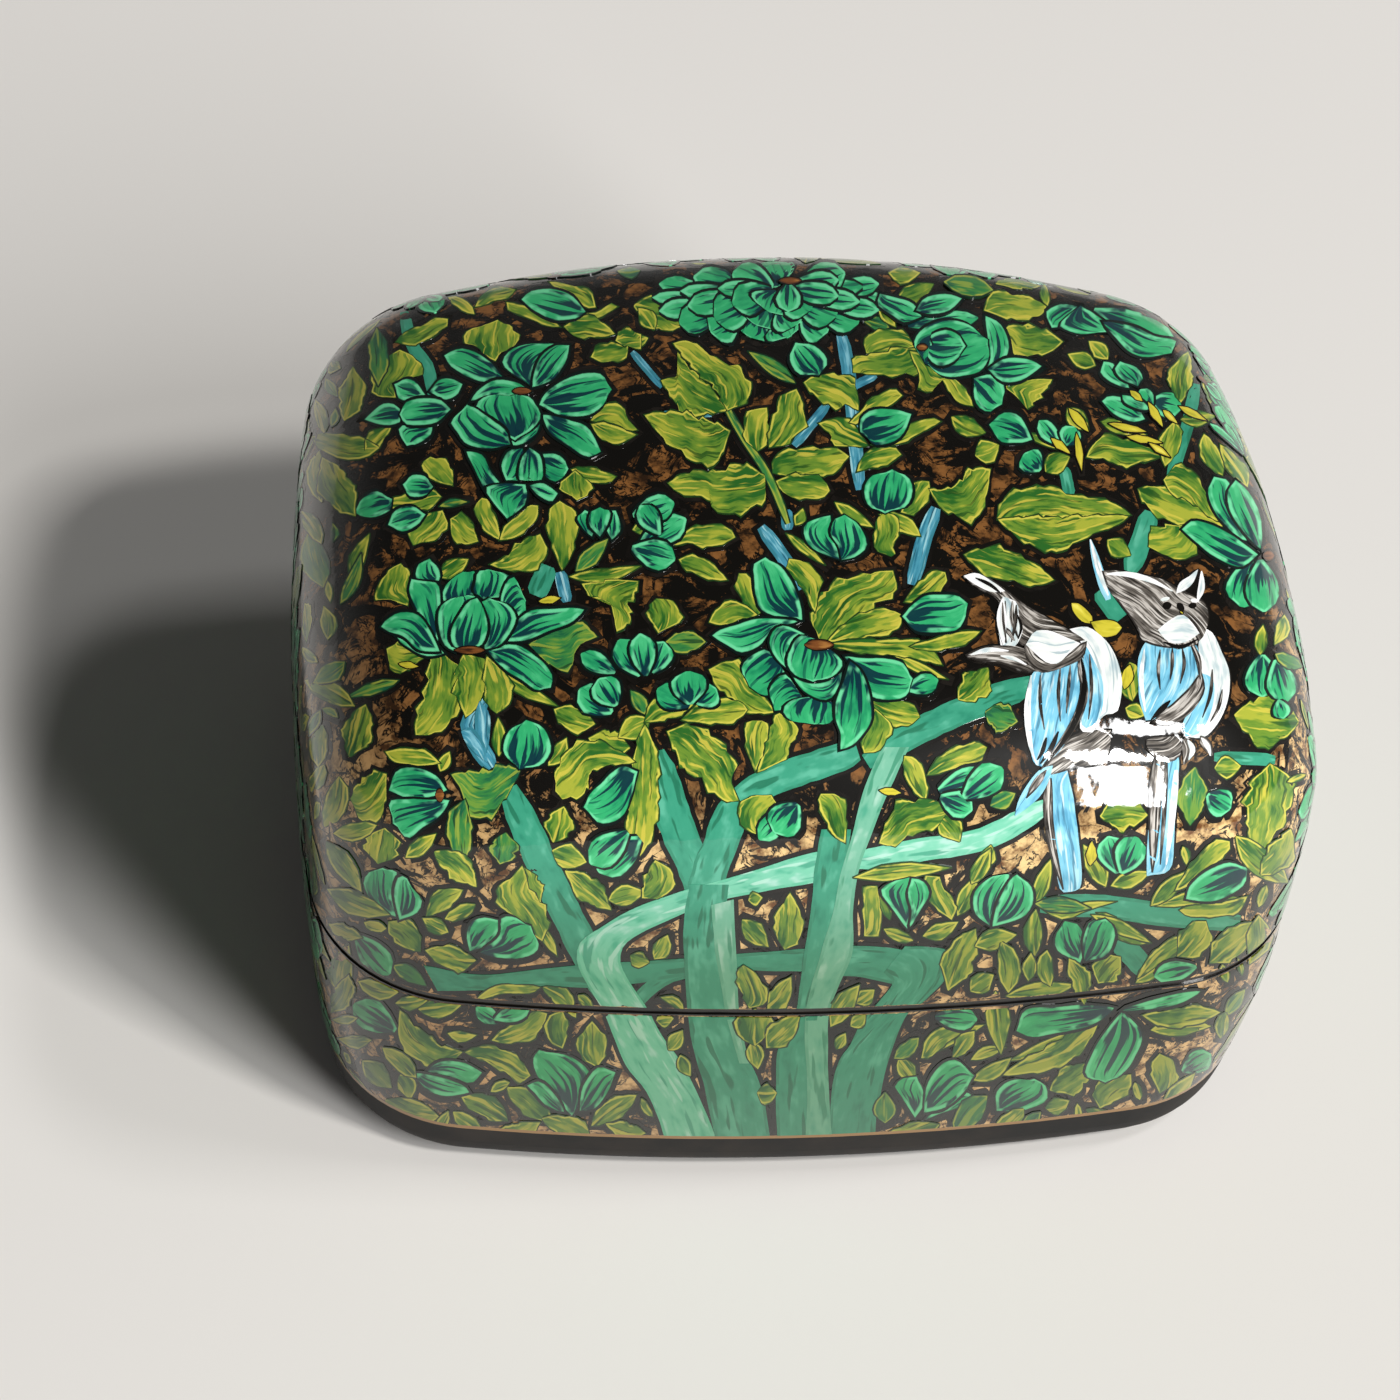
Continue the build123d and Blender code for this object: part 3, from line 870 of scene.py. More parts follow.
# Leaves and petals with an outline of their own: paint, places from base to tip along one edge,
# places along the other edge without the base and the tip
SHAPES = [
    # Large leaves in the middle of the top
    ("leaf", "728,410 712,413 690,413 677,404 662,381", "710,390 690,367 677,355 680,375"),
    ("leaf", "728,410 710,385 692,365 674,344", "747,401 750,385 740,367 730,366 712,356 690,342"),
    ("leaf", "729,432 712,422 692,416 667,414 645,416", "724,446 716,460 697,462 684,454 667,444 657,430"),
    ("leaf", "765,482 762,475 735,466 712,472 688,474 669,484", "764,500 748,510 730,513 711,508 710,498 680,492"),
    ("leaf", "757,450 746,440 744,422 750,411 766,409", "764,446 769,432 767,420"),
    ("leaf", "770,447 770,435 774,420 780,405 786,395 796,391", "785,444 796,435 806,424 801,410 800,399"),
    ("leaf", "774,472 774,460 790,451 815,449 838,451 848,457", "790,477 817,475 830,475 838,467"),
    ("leaf", "777,482 790,477 815,476 825,482 828,491", "785,495 805,499 822,498"),
    ("leaf", "805,383 815,377 835,375 850,378 856,390 858,410", "812,392 825,402 838,408 846,404"),
    ("leaf", "867,446 862,440 855,430 842,420 830,422 819,424", "845,447 830,444 832,435 827,430"),
    ("leaf", "850,423 862,412 870,402 892,391 901,396", "855,424 870,415 890,405"),
    ("leaf", "872,445 892,437 910,426 930,420 940,422", "892,445 912,437 930,427"),
    ("leaf", "857,472 865,455 880,449 895,450 900,455", "870,467 885,465 892,460"),
    ("leaf", "914,347 905,335 892,330 875,332 865,342 867,352", "900,350 880,354"),
    ("leaf", "920,350 900,350 875,355 855,358 854,372", "918,372 895,375 870,374"),
    ("leaf", "910,352 930,360 947,372 965,390 972,406", "920,375 921,390 932,392 942,380 955,400"),
    ("leaf", "902,512 907,500 915,487 920,482 928,483", "915,514 922,505 929,492"),
    ("leaf", "930,490 942,490 957,483 967,472 980,469 990,470", "940,505 955,515 975,518 985,500"),
    ("leaf", "880,515 895,514 912,522 920,536", "892,525 905,532"),
    ("leaf", "890,555 875,550 876,535 877,520 885,515", "895,555 892,545 900,530 895,517"),
    ("leaf", "671,545 687,532 702,526 722,526 732,532 734,537", "690,542 705,547 725,542"),
    ("leaf", "680,560 692,556 705,560 717,570 727,580", "687,569 702,575 715,579"),
    # Leaves round the flower in the middle
    ("leaf", "820,637 812,620 822,597 827,587 842,580 855,576 875,572 892,572",
     "830,642 847,627 870,607 890,600 896,587"),
    ("leaf", "827,642 850,622 870,612 890,610 900,616", "855,637 880,635 899,627"),
    ("leaf", "830,645 855,642 882,642 917,642 932,652 942,665", "860,652 892,655 925,660"),
    ("leaf", "910,647 930,642 955,635 980,632", "935,650 962,644"),
    ("leaf", "905,602 912,592 925,580 935,572 944,574", "925,602 937,595 946,582"),
    ("leaf", "815,612 807,592 795,580 787,570 790,560", "817,595 821,580 815,572 805,562"),
    ("leaf", "755,617 750,610 742,595 737,585 740,575", "760,610 752,595 750,582 745,574"),
    ("leaf", "757,615 742,605 730,602 717,610 710,622", "740,619 725,625"),
    ("leaf", "659,632 650,617 650,606 658,600", "677,622 679,610 670,601"),
    ("deep", "667,642 680,632 695,634 705,642", "675,652 692,651"),
    ("leaf", "775,712 760,695 745,683 740,665 725,663 710,670", "750,712 732,698 717,685"),
    ("leaf", "755,771 750,755 745,735 750,722 760,722", "760,760 766,740 767,725"),
    ("leaf", "758,772 765,750 772,730 775,717 780,715", "780,762 790,755 789,745 800,733 792,722"),
    ("leaf", "645,722 652,702 667,696 685,700 692,705", "660,720 680,715"),
    ("leaf", "682,720 700,705 725,700 740,702 746,710", "705,722 730,722 742,716"),
    ("leaf", "645,725 635,750 630,787 628,825 635,860", "655,750 657,787 655,820 647,845"),
    ("leaf", "668,732 687,726 705,730 722,745 735,765 731,782 738,800",
     "676,750 685,770 700,775 712,790 725,800"),
    ("leaf", "770,837 750,830 740,815 745,800 755,796 770,796", "760,827 770,815 777,805"),
    ("leaf", "845,842 835,835 825,815 819,800 822,795", "845,820 844,802 835,794"),
    ("leaf", "925,800 912,787 906,775 904,762 905,757", "926,787 922,770 915,759"),
    ("leaf", "947,810 937,802 920,800 900,802 887,822 880,842", "937,825 917,832 895,845"),
    ("leaf", "927,775 942,757 960,747 975,743 985,748", "945,770 965,765 980,760"),
    ("leaf", "870,703 892,701 912,705 918,717", "887,722 907,725"),
    ("leaf", "875,710 867,725 862,740 865,752", "890,725 885,740 876,750"),
    # Leaves round the flower on the left
    ("leaf", "445,657 430,657 425,685 419,710 416,725 417,734", "462,670 462,690 460,710 450,725 432,734"),
    ("leaf", "465,655 455,670 454,690 462,705 466,717", "490,662 490,682 480,700 472,712"),
    ("leaf", "487,657 485,680 485,695 490,707 497,712", "502,672 511,690 507,705"),
    ("leaf", "430,655 415,645 400,642 388,650", "420,660 402,674 390,667"),
    ("deep", "530,645 547,632 567,625 580,624 590,630 597,637", "542,657 557,670 572,667 575,652 585,642"),
    ("leaf", "407,605 390,600 375,598 382,582 390,570 400,565", "411,587 409,572"),
    ("leaf", "637,582 615,581 587,585 590,597 610,603 617,631", "636,588 630,602 630,620"),
    ("leaf", "555,710 570,706 585,712 594,724", "562,725 580,732"),
    ("leaf", "635,762 615,750 590,741 570,747 556,770 557,790", "610,765 590,775 585,795 565,800"),
    ("leaf", "440,763 425,752 407,750 386,752", "420,765 397,762"),
    ("leaf", "386,775 372,772 360,780 354,790 352,800", "386,800 380,817 362,821"),
    ("deep", "520,770 502,767 480,772 465,772 452,775", "510,790 490,815 470,812 462,790"),
    ("deep", "465,800 450,815 450,840 460,862", "470,820 470,840 466,858"),
    ("twig", "487,752 477,735 476,715 480,702", "489,735 489,715"),
    ("twig", "487,762 475,752 465,740 462,732", "484,745 472,728"),
    # Leaves round the birds
    ("leaf", "965,555 985,548 1010,552 1035,566 1053,580", "985,572 1010,580 1035,584"),
    ("spark", "1092,624 1082,622 1073,612 1071,603", "1092,616 1080,604"),
    ("spark", "1090,622 1105,620 1116,622 1122,628", "1100,637 1115,636"),
    ("leaf", "1132,700 1120,690 1118,678 1130,664", "1139,685 1138,668"),
    ("leaf", "1270,765 1255,780 1247,800 1247,825 1252,845 1255,857", "1285,775 1291,795 1285,820 1270,840"),
    # Petals of the flower in the middle
    ("petal", "802,620 785,619 762,610 756,595 755,580 754,565 765,559", "800,605 792,585 780,567"),
    ("petal", "800,622 780,620 755,620 735,626 722,630 712,636", "785,625 770,632 760,645 742,652 730,647"),
    ("petal", "844,657 862,659 882,659 900,662 907,670 911,680", "860,677 870,695 892,700 907,695"),
    ("petal", "903,617 915,630 937,632 957,630 965,618 966,605", "910,608 925,597 945,596 960,598"),
    ("petal", "777,662 765,650 747,660 742,672 750,685", "785,675 780,690 765,695 755,691"),
    ("petal", "800,695 785,675 770,690 775,710", "805,705 790,710"),
    ("petal", "815,697 795,700 784,710 792,721 812,724", "835,705 834,715 827,724"),
    ("petal", "842,670 830,682 812,685 800,682 792,677", "837,690 825,700 805,692"),
    ("petal", "805,635 785,627 774,632 770,645 777,660 790,672", "792,642 787,657"),
    ("petal", "819,642 802,637 790,650 788,665 797,677 812,681", "837,657 842,665 835,675 825,680"),
    ("petal", "850,662 845,680 837,700 836,720 841,735 840,750", "862,675 870,700 871,720 862,735 852,745"),
    # Petals of the flower on the left, from the back to the front
    ("petal", "462,598 442,601 446,587 455,577 462,574", "474,594 477,582 475,572"),
    ("petal", "485,598 475,593 477,582 479,572 490,571", "500,597 505,587 507,575"),
    ("petal", "505,614 501,600 506,585 515,579 525,600", "515,617 525,612"),
    ("petal", "437,582 422,582 416,577 419,565 429,560", "440,577 437,567"),
    ("petal", "437,645 427,632 415,605 410,590 412,580", "441,625 440,600 437,585 425,582"),
    ("petal", "445,654 425,656 405,645 397,637", "432,643 412,632"),
    ("petal", "440,652 430,632 417,616 400,614 387,621 382,627", "420,650 405,637 390,632"),
    ("petal", "487,650 502,667 522,680 537,690 550,687", "510,645 525,650 542,662 552,677"),
    ("petal", "504,642 515,625 530,612 552,610 570,609 585,610", "527,640 552,630 572,622"),
    ("petal", "455,652 445,645 440,630 440,610 450,600 462,597", "460,632 475,612 480,602 472,596"),
    ("petal", "485,650 486,632 485,615 481,604 490,600", "500,645 512,630 516,617 507,605"),
    ("petal", "467,650 455,647 452,632 462,612 470,602 477,600", "482,645 487,625 482,607"),
    # Buds and single petals
    ("petal", "818,375 802,376 794,370 790,357 796,345", "827,365 822,354 810,346"),
    ("petal", "862,432 860,422 870,412 895,411 911,415", "875,445 895,440 905,430"),
    ("petal", "885,512 870,507 865,492 872,477 892,472", "905,507 912,492 907,477"),
    ("petal", "840,560 815,550 805,537 806,525 818,519 830,516", "837,547 830,535 830,525"),
    ("petal", "842,560 855,557 866,547 862,532 855,522 845,517", "839,547 832,535 835,520"),
    ("petal", "520,768 505,755 504,742 512,729 527,722", "540,765 550,750 545,732 537,724"),
    ("petal", "447,790 435,775 415,768 397,772 390,790", "430,797 407,797"),
    ("petal", "450,800 430,800 410,800 390,802 395,822", "440,815 422,827 407,837"),
    ("petal", "637,772 622,767 605,780 590,795 585,807", "632,792 622,815 600,822"),
    # Upper left
    ("petal", "400,310 430,302 452,292 465,291 475,292", "420,315 440,314 460,307 472,297"),
    ("leaf", "397,342 407,332 425,325 437,319 447,320", "415,345 430,337 437,332 447,326"),
    ("leaf", "495,360 485,355 480,347 466,342 469,332 482,326 497,322", "502,352 515,349 520,340 512,327 502,324"),
    ("leaf", "475,307 487,292 500,288 515,290", "492,301 507,297"),
    ("petal", "585,312 572,297 552,290 532,292 522,300", "575,319 555,320 535,311"),
    ("leaf", "560,327 545,317 525,308 507,303", "545,324 522,314 510,310"),
    ("leaf", "565,327 577,315 597,314 610,305 617,307", "582,322 600,316"),
    ("leaf", "565,327 585,317 600,322 614,334", "577,337 600,336"),
    ("leaf", "595,307 590,292 575,287 549,282", "587,307 572,297"),
    ("leaf", "627,347 612,345 598,348 592,357", "625,358 605,362"),
    ("leaf", "617,341 620,332 628,330 636,334 640,336", "625,346 640,348"),
    ("leaf", "395,397 375,395 375,375 387,365 390,356 400,352", "397,382 415,377 422,373 417,360 407,354"),
    ("leaf", "391,427 375,432 367,440 366,449", "385,437 377,446"),
    ("leaf", "592,420 602,407 622,407 627,420 637,430", "612,425 625,429"),
    ("leaf", "592,425 607,425 625,432 636,435", "600,437 612,443 625,440"),
    ("leaf", "572,470 590,469 607,474 615,477", "585,481 610,481"),
    ("leaf", "575,472 565,480 558,488 570,495 577,499", "590,485 588,495"),
    ("leaf", "452,485 440,482 425,472 423,463 430,459", "452,472 445,460"),
    ("leaf", "440,497 430,490 410,496 392,500 389,507", "430,506 410,510"),
    ("leaf", "442,512 430,515 417,525 410,535 414,544", "447,525 437,537 425,541"),
    ("leaf", "452,520 462,514 472,527 477,541", "452,535 462,544"),
    ("leaf", "500,540 485,530 477,515 476,505 482,500", "497,525 490,512 487,500"),
    ("leaf", "500,540 507,525 520,515 527,506 537,507", "515,537 530,527 537,517"),
    ("leaf", "490,565 505,560 515,545 527,540 540,536", "510,570 530,570 542,560 545,547"),
    ("leaf", "562,570 557,555 550,530 550,510 560,503", "570,555 575,530 575,512"),
    ("petal", "425,395 415,382 405,380 395,385", "415,400 400,399"),
    ("petal", "430,392 440,381 452,380 462,385", "445,400 457,395"),
    ("petal", "400,412 395,405 382,405 364,420", "400,422 385,425"),
    ("petal", "432,427 415,426 400,427 401,437 407,445", "430,435 417,444"),
    ("petal", "450,410 440,401 420,400 405,405 402,415", "437,422 420,425 405,424"),
    ("petal", "502,377 487,360 465,350 452,352 445,356", "485,382 470,377 452,367"),
    ("petal", "530,385 505,367 507,355 522,346 542,344 567,345", "537,365 550,352"),
    ("petal", "532,388 535,372 542,357 555,347 569,346", "552,380 562,367 567,357"),
    ("petal", "540,405 545,395 565,380 585,375 602,376 610,390", "560,415 585,416 602,407"),
    ("petal", "542,415 565,420 585,427 595,440 600,452", "550,432 567,445 587,457"),
    ("petal", "470,402 480,390 497,381 517,384 530,392", "490,395 510,395"),
    ("petal", "505,445 520,445 535,435 540,422 540,410", "517,437 532,427"),
    ("petal", "515,440 497,432 482,420 476,407 487,397 507,396", "532,430 540,415 532,400 520,396"),
    ("petal", "510,445 490,449 467,445 457,432 452,422 467,407", "505,432 490,420 477,410"),
    ("petal", "522,450 510,452 502,465 504,475 507,480", "525,465 520,480"),
    ("petal", "540,455 555,455 565,462 567,470", "542,472 555,481 565,475"),
    ("petal", "530,450 522,460 520,480 530,481", "540,457 542,480"),
    ("petal", "502,487 487,490 480,480 474,467 466,452", "490,472 482,457"),
    ("petal", "525,486 505,485 487,490 495,505 507,519", "527,497 520,510"),
    ("petal", "530,487 542,485 552,490 557,495", "540,497 552,502"),
    ("petal", "432,487 425,477 412,476 404,485", "425,495 410,496"),
    ("petal", "391,500 377,492 362,500 356,512", "390,510 375,517 362,516"),
    ("petal", "425,515 412,507 395,512 389,525", "417,525 402,531"),
    ("petal", "592,537 583,528 578,518 585,512", "594,525 592,514"),
    ("petal", "612,540 605,525 607,512 615,512", "620,530 618,517"),
    ("petal", "600,537 590,525 592,512 600,510", "607,525 610,512"),
    # Upper right
    ("leaf", "985,310 992,294 1015,294 1035,300 1045,307", "1002,316 1025,319 1040,316"),
    ("leaf", "1062,342 1047,332 1025,327 1010,327 1005,331", "1050,352 1032,357 1015,356 1012,342"),
    ("leaf", "1027,408 1015,395 1005,385 1020,381 1035,380 1051,380", "1035,402 1042,392"),
    ("leaf", "1150,440 1130,425 1112,420 1102,422", "1132,435 1115,432"),
    ("leaf", "1160,457 1145,447 1125,440 1102,437 1092,447 1087,457", "1145,460 1125,467 1110,460"),
    ("leaf", "1175,422 1165,432 1160,445 1163,460 1165,466", "1182,437 1175,455"),
    ("leaf", "998,519 1002,502 1020,491 1050,489 1070,496 1095,500 1112,504 1130,515", "1050,517 1090,516"),
    ("leaf", "998,520 1010,530 1025,542 1050,550 1070,545 1100,531 1115,525 1128,517", "1050,518 1090,517"),
    ("leaf", "1139,490 1155,486 1182,495 1205,507 1225,527", "1145,505 1160,517 1182,524 1205,522"),
    ("leaf", "1165,480 1177,465 1195,477 1205,492 1212,510 1220,522", "1170,492 1190,502 1207,515"),
    ("leaf", "1182,527 1167,526 1152,532 1150,547", "1195,540 1190,557 1170,557"),
    ("leaf", "1222,475 1207,465 1200,447 1204,435", "1222,460 1212,442"),
    ("leaf", "1247,487 1235,477 1225,462 1220,445", "1247,472 1232,455"),
    ("petal", "1080,305 1070,290 1045,285 1025,284 1007,285", "1057,300 1032,297 1015,292"),
    ("petal", "1077,307 1062,305 1047,312 1049,322 1052,327", "1072,317 1065,327"),
    ("petal", "1080,307 1067,317 1060,327 1080,334 1105,332", "1095,315 1107,327"),
    ("petal", "1082,302 1100,294 1120,300 1140,312 1145,322", "1105,307 1125,320"),
    ("petal", "1110,307 1125,305 1155,318 1177,337", "1125,318 1152,330"),
    ("petal", "1102,322 1130,327 1155,337 1175,342 1170,352", "1115,337 1130,352 1145,357 1162,355"),
    ("petal", "987,372 1002,361 1022,365 1044,369", "1007,379 1027,376"),
    ("petal", "1130,389 1112,383 1101,373 1104,363", "1120,375 1112,364"),
    ("petal", "1137,386 1122,380 1115,370 1120,363", "1142,378 1135,368"),
    ("petal", "1145,420 1130,402 1110,397 1102,402", "1132,422 1115,415"),
    ("petal", "1150,410 1138,400 1122,396", "1140,410 1125,403"),
    ("petal", "1032,440 1020,418 1003,414 990,425", "1018,443 1000,440"),
    ("petal", "1247,542 1235,535 1215,512 1208,492 1214,478", "1230,502 1228,482"),
    ("petal", "1260,550 1242,530 1229,510 1228,492 1235,481", "1261,530 1257,510 1247,492"),
    ("petal", "1257,555 1232,537 1207,525 1192,522 1182,530", "1240,567 1215,557 1195,542"),
    # Lower left
    ("leaf", "427,915 432,897 445,889 462,890", "442,910 455,900"),
    ("leaf", "542,940 510,915 499,900 500,887 515,875 522,866", "547,922 545,905 530,890"),
    ("leaf", "475,960 460,950 445,945 426,950", "460,969 440,962"),
    ("leaf", "420,950 420,932 410,920 400,920 390,922", "405,947 390,935"),
    ("leaf", "475,1000 495,987 515,985 540,987", "502,992 527,992"),
    ("leaf", "492,1040 505,1030 522,1020 537,1013 546,1014", "510,1042 530,1038 542,1026"),
    ("leaf", "562,1047 550,1040 547,1025 552,1015 562,1012", "566,1035 565,1020"),
    ("leaf", "597,1066 582,1057 577,1045 585,1030 592,1022", "605,1052 605,1037"),
    ("leaf", "465,1052 487,1047 510,1052 522,1062 529,1075", "485,1060 505,1072 520,1081"),
    ("leaf", "462,1052 440,1045 415,1025 400,1010", "440,1067 415,1057 400,1040"),
    ("leaf", "552,1122 547,1107 530,1090 507,1087", "530,1117 515,1102"),
    ("leaf", "507,1120 502,1107 485,1095 462,1097", "490,1119 470,1107"),
    ("leaf", "592,1125 600,1107 620,1097 636,1095", "612,1120 627,1110"),
    ("petal", "397,917 377,905 365,885 370,872 382,869", "392,895 397,872"),
    ("petal", "400,919 395,895 400,875 407,880", "417,912 422,900 415,890"),
    ("petal", "470,950 467,935 472,922 485,917 497,920", "485,945 497,932"),
    ("petal", "480,952 500,935 502,919 515,917 530,927", "502,957 530,955 539,945"),
    ("petal", "572,1115 550,1092 536,1072 534,1057 540,1051", "587,1090 587,1070 565,1055"),
    ("petal", "580,1110 582,1090 590,1075 600,1067 615,1072", "595,1107 607,1092"),
    ("petal", "565,1112 555,1095 540,1082 527,1085", "547,1105 535,1092"),
    ("petal", "425,1072 440,1062 462,1062 482,1072", "450,1075 470,1082"),
    ("petal", "415,1072 440,1077 462,1085 470,1092", "425,1087 445,1095"),
    # Between the stem feet
    ("leaf", "643,897 644,880 650,868 656,861", "660,897 673,888 675,878 668,868"),
    ("leaf", "785,948 777,936 776,918 781,908 790,893", "800,940 801,915 797,906"),
    ("leaf", "750,1006 741,990 738,972 744,966", "764,1002 765,988 755,973"),
    ("leaf", "768,1007 772,990 791,976", "784,1005 789,995"),
    ("leaf", "755,1043 741,1036 740,1013 755,1010", "769,1033 771,1014"),
    ("leaf", "767,1046 767,1032 782,1020 800,1013", "780,1045 791,1036"),
    ("petal", "907,928 892,907 881,890 895,880 908,878", "915,910 920,892 916,882"),
    ("petal", "909,928 918,912 928,893 922,880 912,878", "912,910 908,892"),
    ("petal", "915,1118 902,1096 895,1086 904,1078 916,1077", "924,1102 922,1088"),
    ("petal", "922,1121 940,1108 962,1092 974,1097", "937,1114 956,1107"),
    ("petal", "924,1112 927,1085 941,1065 957,1060 973,1075", "946,1106 963,1092"),
    ("leaf", "922,1057 929,1037 950,1026 964,1029", "932,1055 944,1043"),
    ("leaf", "953,1057 959,1037 974,1031", "966,1051 972,1042"),
    ("leaf", "951,918 932,902 924,877 938,877", "955,905 945,890"),
    ("leaf", "865,935 864,905 866,888 876,887", "878,933 880,905"),
    # Lower right
    ("leaf", "1175,890 1190,868 1205,850 1215,840 1228,842", "1195,880 1215,862 1228,850"),
    ("leaf", "1247,896 1225,903 1200,905 1180,910", "1235,912 1210,915 1190,915"),
    ("leaf", "1137,978 1150,957 1170,940 1187,935", "1160,962 1180,950"),
    ("leaf", "1178,955 1180,935 1192,922 1205,922", "1195,955 1210,940"),
    ("leaf", "1210,962 1215,940 1235,927 1252,922", "1230,960 1245,945"),
    ("leaf", "1142,1015 1170,1010 1195,1007 1220,1012", "1165,1025 1195,1022"),
    ("leaf", "1097,1025 1075,1030 1052,1045 1025,1060 1002,1075", "1080,1052 1052,1067 1025,1072"),
    ("leaf", "1100,1107 1092,1090 1105,1078 1130,1075", "1118,1098 1130,1088"),
    ("leaf", "1160,1092 1155,1080 1152,1065 1160,1055", "1175,1080 1172,1062"),
    ("petal", "990,925 975,912 975,892 990,877 1005,874", "1002,895 1009,875"),
    ("petal", "992,926 997,905 1010,880 1017,875", "1020,917 1032,902 1030,885"),
    ("petal", "1080,962 1058,950 1056,935 1065,922", "1085,945 1078,925"),
    ("petal", "1085,960 1083,940 1090,922 1105,920", "1105,955 1114,938 1112,925"),
    ("petal", "1246,868 1228,862 1205,872 1190,885 1186,898", "1243,885 1220,898 1200,900"),
    ("petal", "1115,1007 1082,1005 1052,1007 1025,1010 1017,1030", "1095,1022 1057,1032 1032,1036"),
    ("petal", "1122,1012 1110,1025 1095,1047 1085,1070 1090,1078 1105,1080", "1137,1025 1142,1040 1132,1062 1117,1077"),
    ("petal", "1120,1010 1150,1000 1180,993 1202,990", "1150,1008 1180,1002"),
    ("petal", "997,1110 997,1092 1012,1080 1035,1080", "1022,1110 1045,1100 1045,1085"),
    # Rose at the upper right
    ("petal", "985,372 1003,362 1008,345 1000,325 985,316", "990,358 988,338"),
    ("petal", "925,362 914,345 922,330 945,321 968,325 986,341", "940,375 962,377 981,371 989,356"),
    ("petal", "930,346 928,358 940,366 956,360 964,347", "931,336 945,331 959,337"),
    ("petal", "880,296 895,299 912,305 921,318", "878,306 892,316 905,323"),
    ("petal", "916,312 925,300 945,296 962,300", "930,315 948,312"),
    ("petal", "975,380 985,376 998,378 1004,392 1000,404", "974,395 980,408 990,412"),
    ("petal", "988,370 1005,360 1025,360 1042,367", "1002,382 1022,380"),
]

# Brown hearts by place and size, and yellow dabs from base to tip with their width
HEARTS = [(470, 651, 32, 9), (819, 646, 30, 12), (440, 795, 9, 14), (522, 392, 20, 8), (922, 348, 12, 8),
          (790, 283, 24, 8), (1268, 556, 12, 12)]
SPARKS = [(538, 602, 562, 598, 9), (1129, 391, 1143, 403, 8), (1147, 402, 1163, 429, 9), (1107, 424, 1148, 433, 9),
          (1125, 437, 1163, 444, 9), (1162, 410, 1178, 425, 8), (1177, 406, 1208, 422, 8), (1147, 443, 1171, 459, 8),
          (1068, 408, 1089, 433, 11), (1076, 432, 1082, 474, 9), (1050, 438, 1071, 455, 9), (1124, 690, 1130, 664, 13),
          (878, 790, 902, 793, 9), (1090, 866, 1092, 840, 12), (398, 664, 420, 667, 8)]


def places_of(text):
    """Return the places written in a text."""
    return [tuple(float(part) for part in place.split(",")) for place in text.split()]


def edges(first, second):
    """Return a shape's two edges, each from its base to its tip."""
    first, second = places_of(first), places_of(second)
    return first, [first[0], *second, first[-1]]


# Stems lie lowest, then the leaves, then the flowers over them
for paint, width, places in STEMS:
    stroke(photo, paint, places, width, LEAF if paint == "leaf" else STEM, 0.05)
for paint, *form in TRUNKS:
    patch(photo, paint, *map(places_of, form), 0.1)
for x, y, tip_x, tip_y, width in LEAVES:
    paint = "deep" if random.random() < 0.15 and width < 30 else "leaf"
    blade(photo, paint, x, y, tip_x, tip_y, 1.2 * width, JAGGED if 22 < width < 60 else LEAF, ragged=0.08)
for paint, *form in SHAPES:
    if paint != "petal":
        patch(photo, paint, *edges(*form))
ring_of_petals(photo, 769, 298, 117, 40, 0.55, 1.0, 18)
ring_of_petals(photo, 772, 294, 92, 32, 0.35, 1.0, 13, 10)
ring_of_petals(photo, 780, 290, 62, 24, 0.15, 1.0, 9, 20)
stroke(photo, "petal", [(789, 286), (788, 314)], 28, PETAL)
for x, y, tip_x, tip_y, width in PETALS:
    blade(photo, "petal", x, y, tip_x, tip_y, 1.2 * width, PETAL, 0.0, 0.04)
for paint, *form in SHAPES:
    if paint == "petal":
        patch(photo, paint, *edges(*form))
for x, y, across, high in HEARTS:
    dot(photo, "heart", x, y, across, high)
for x, y, tip_x, tip_y, width in SPARKS:
    stroke(photo, "spark", [(x, y), (tip_x, tip_y)], width, LEAF, 0.15, contour=0.3)


# Two crested birds that sit side by side: paint, width, shape, places. A shape of an outline of its own
# has its two edges instead.

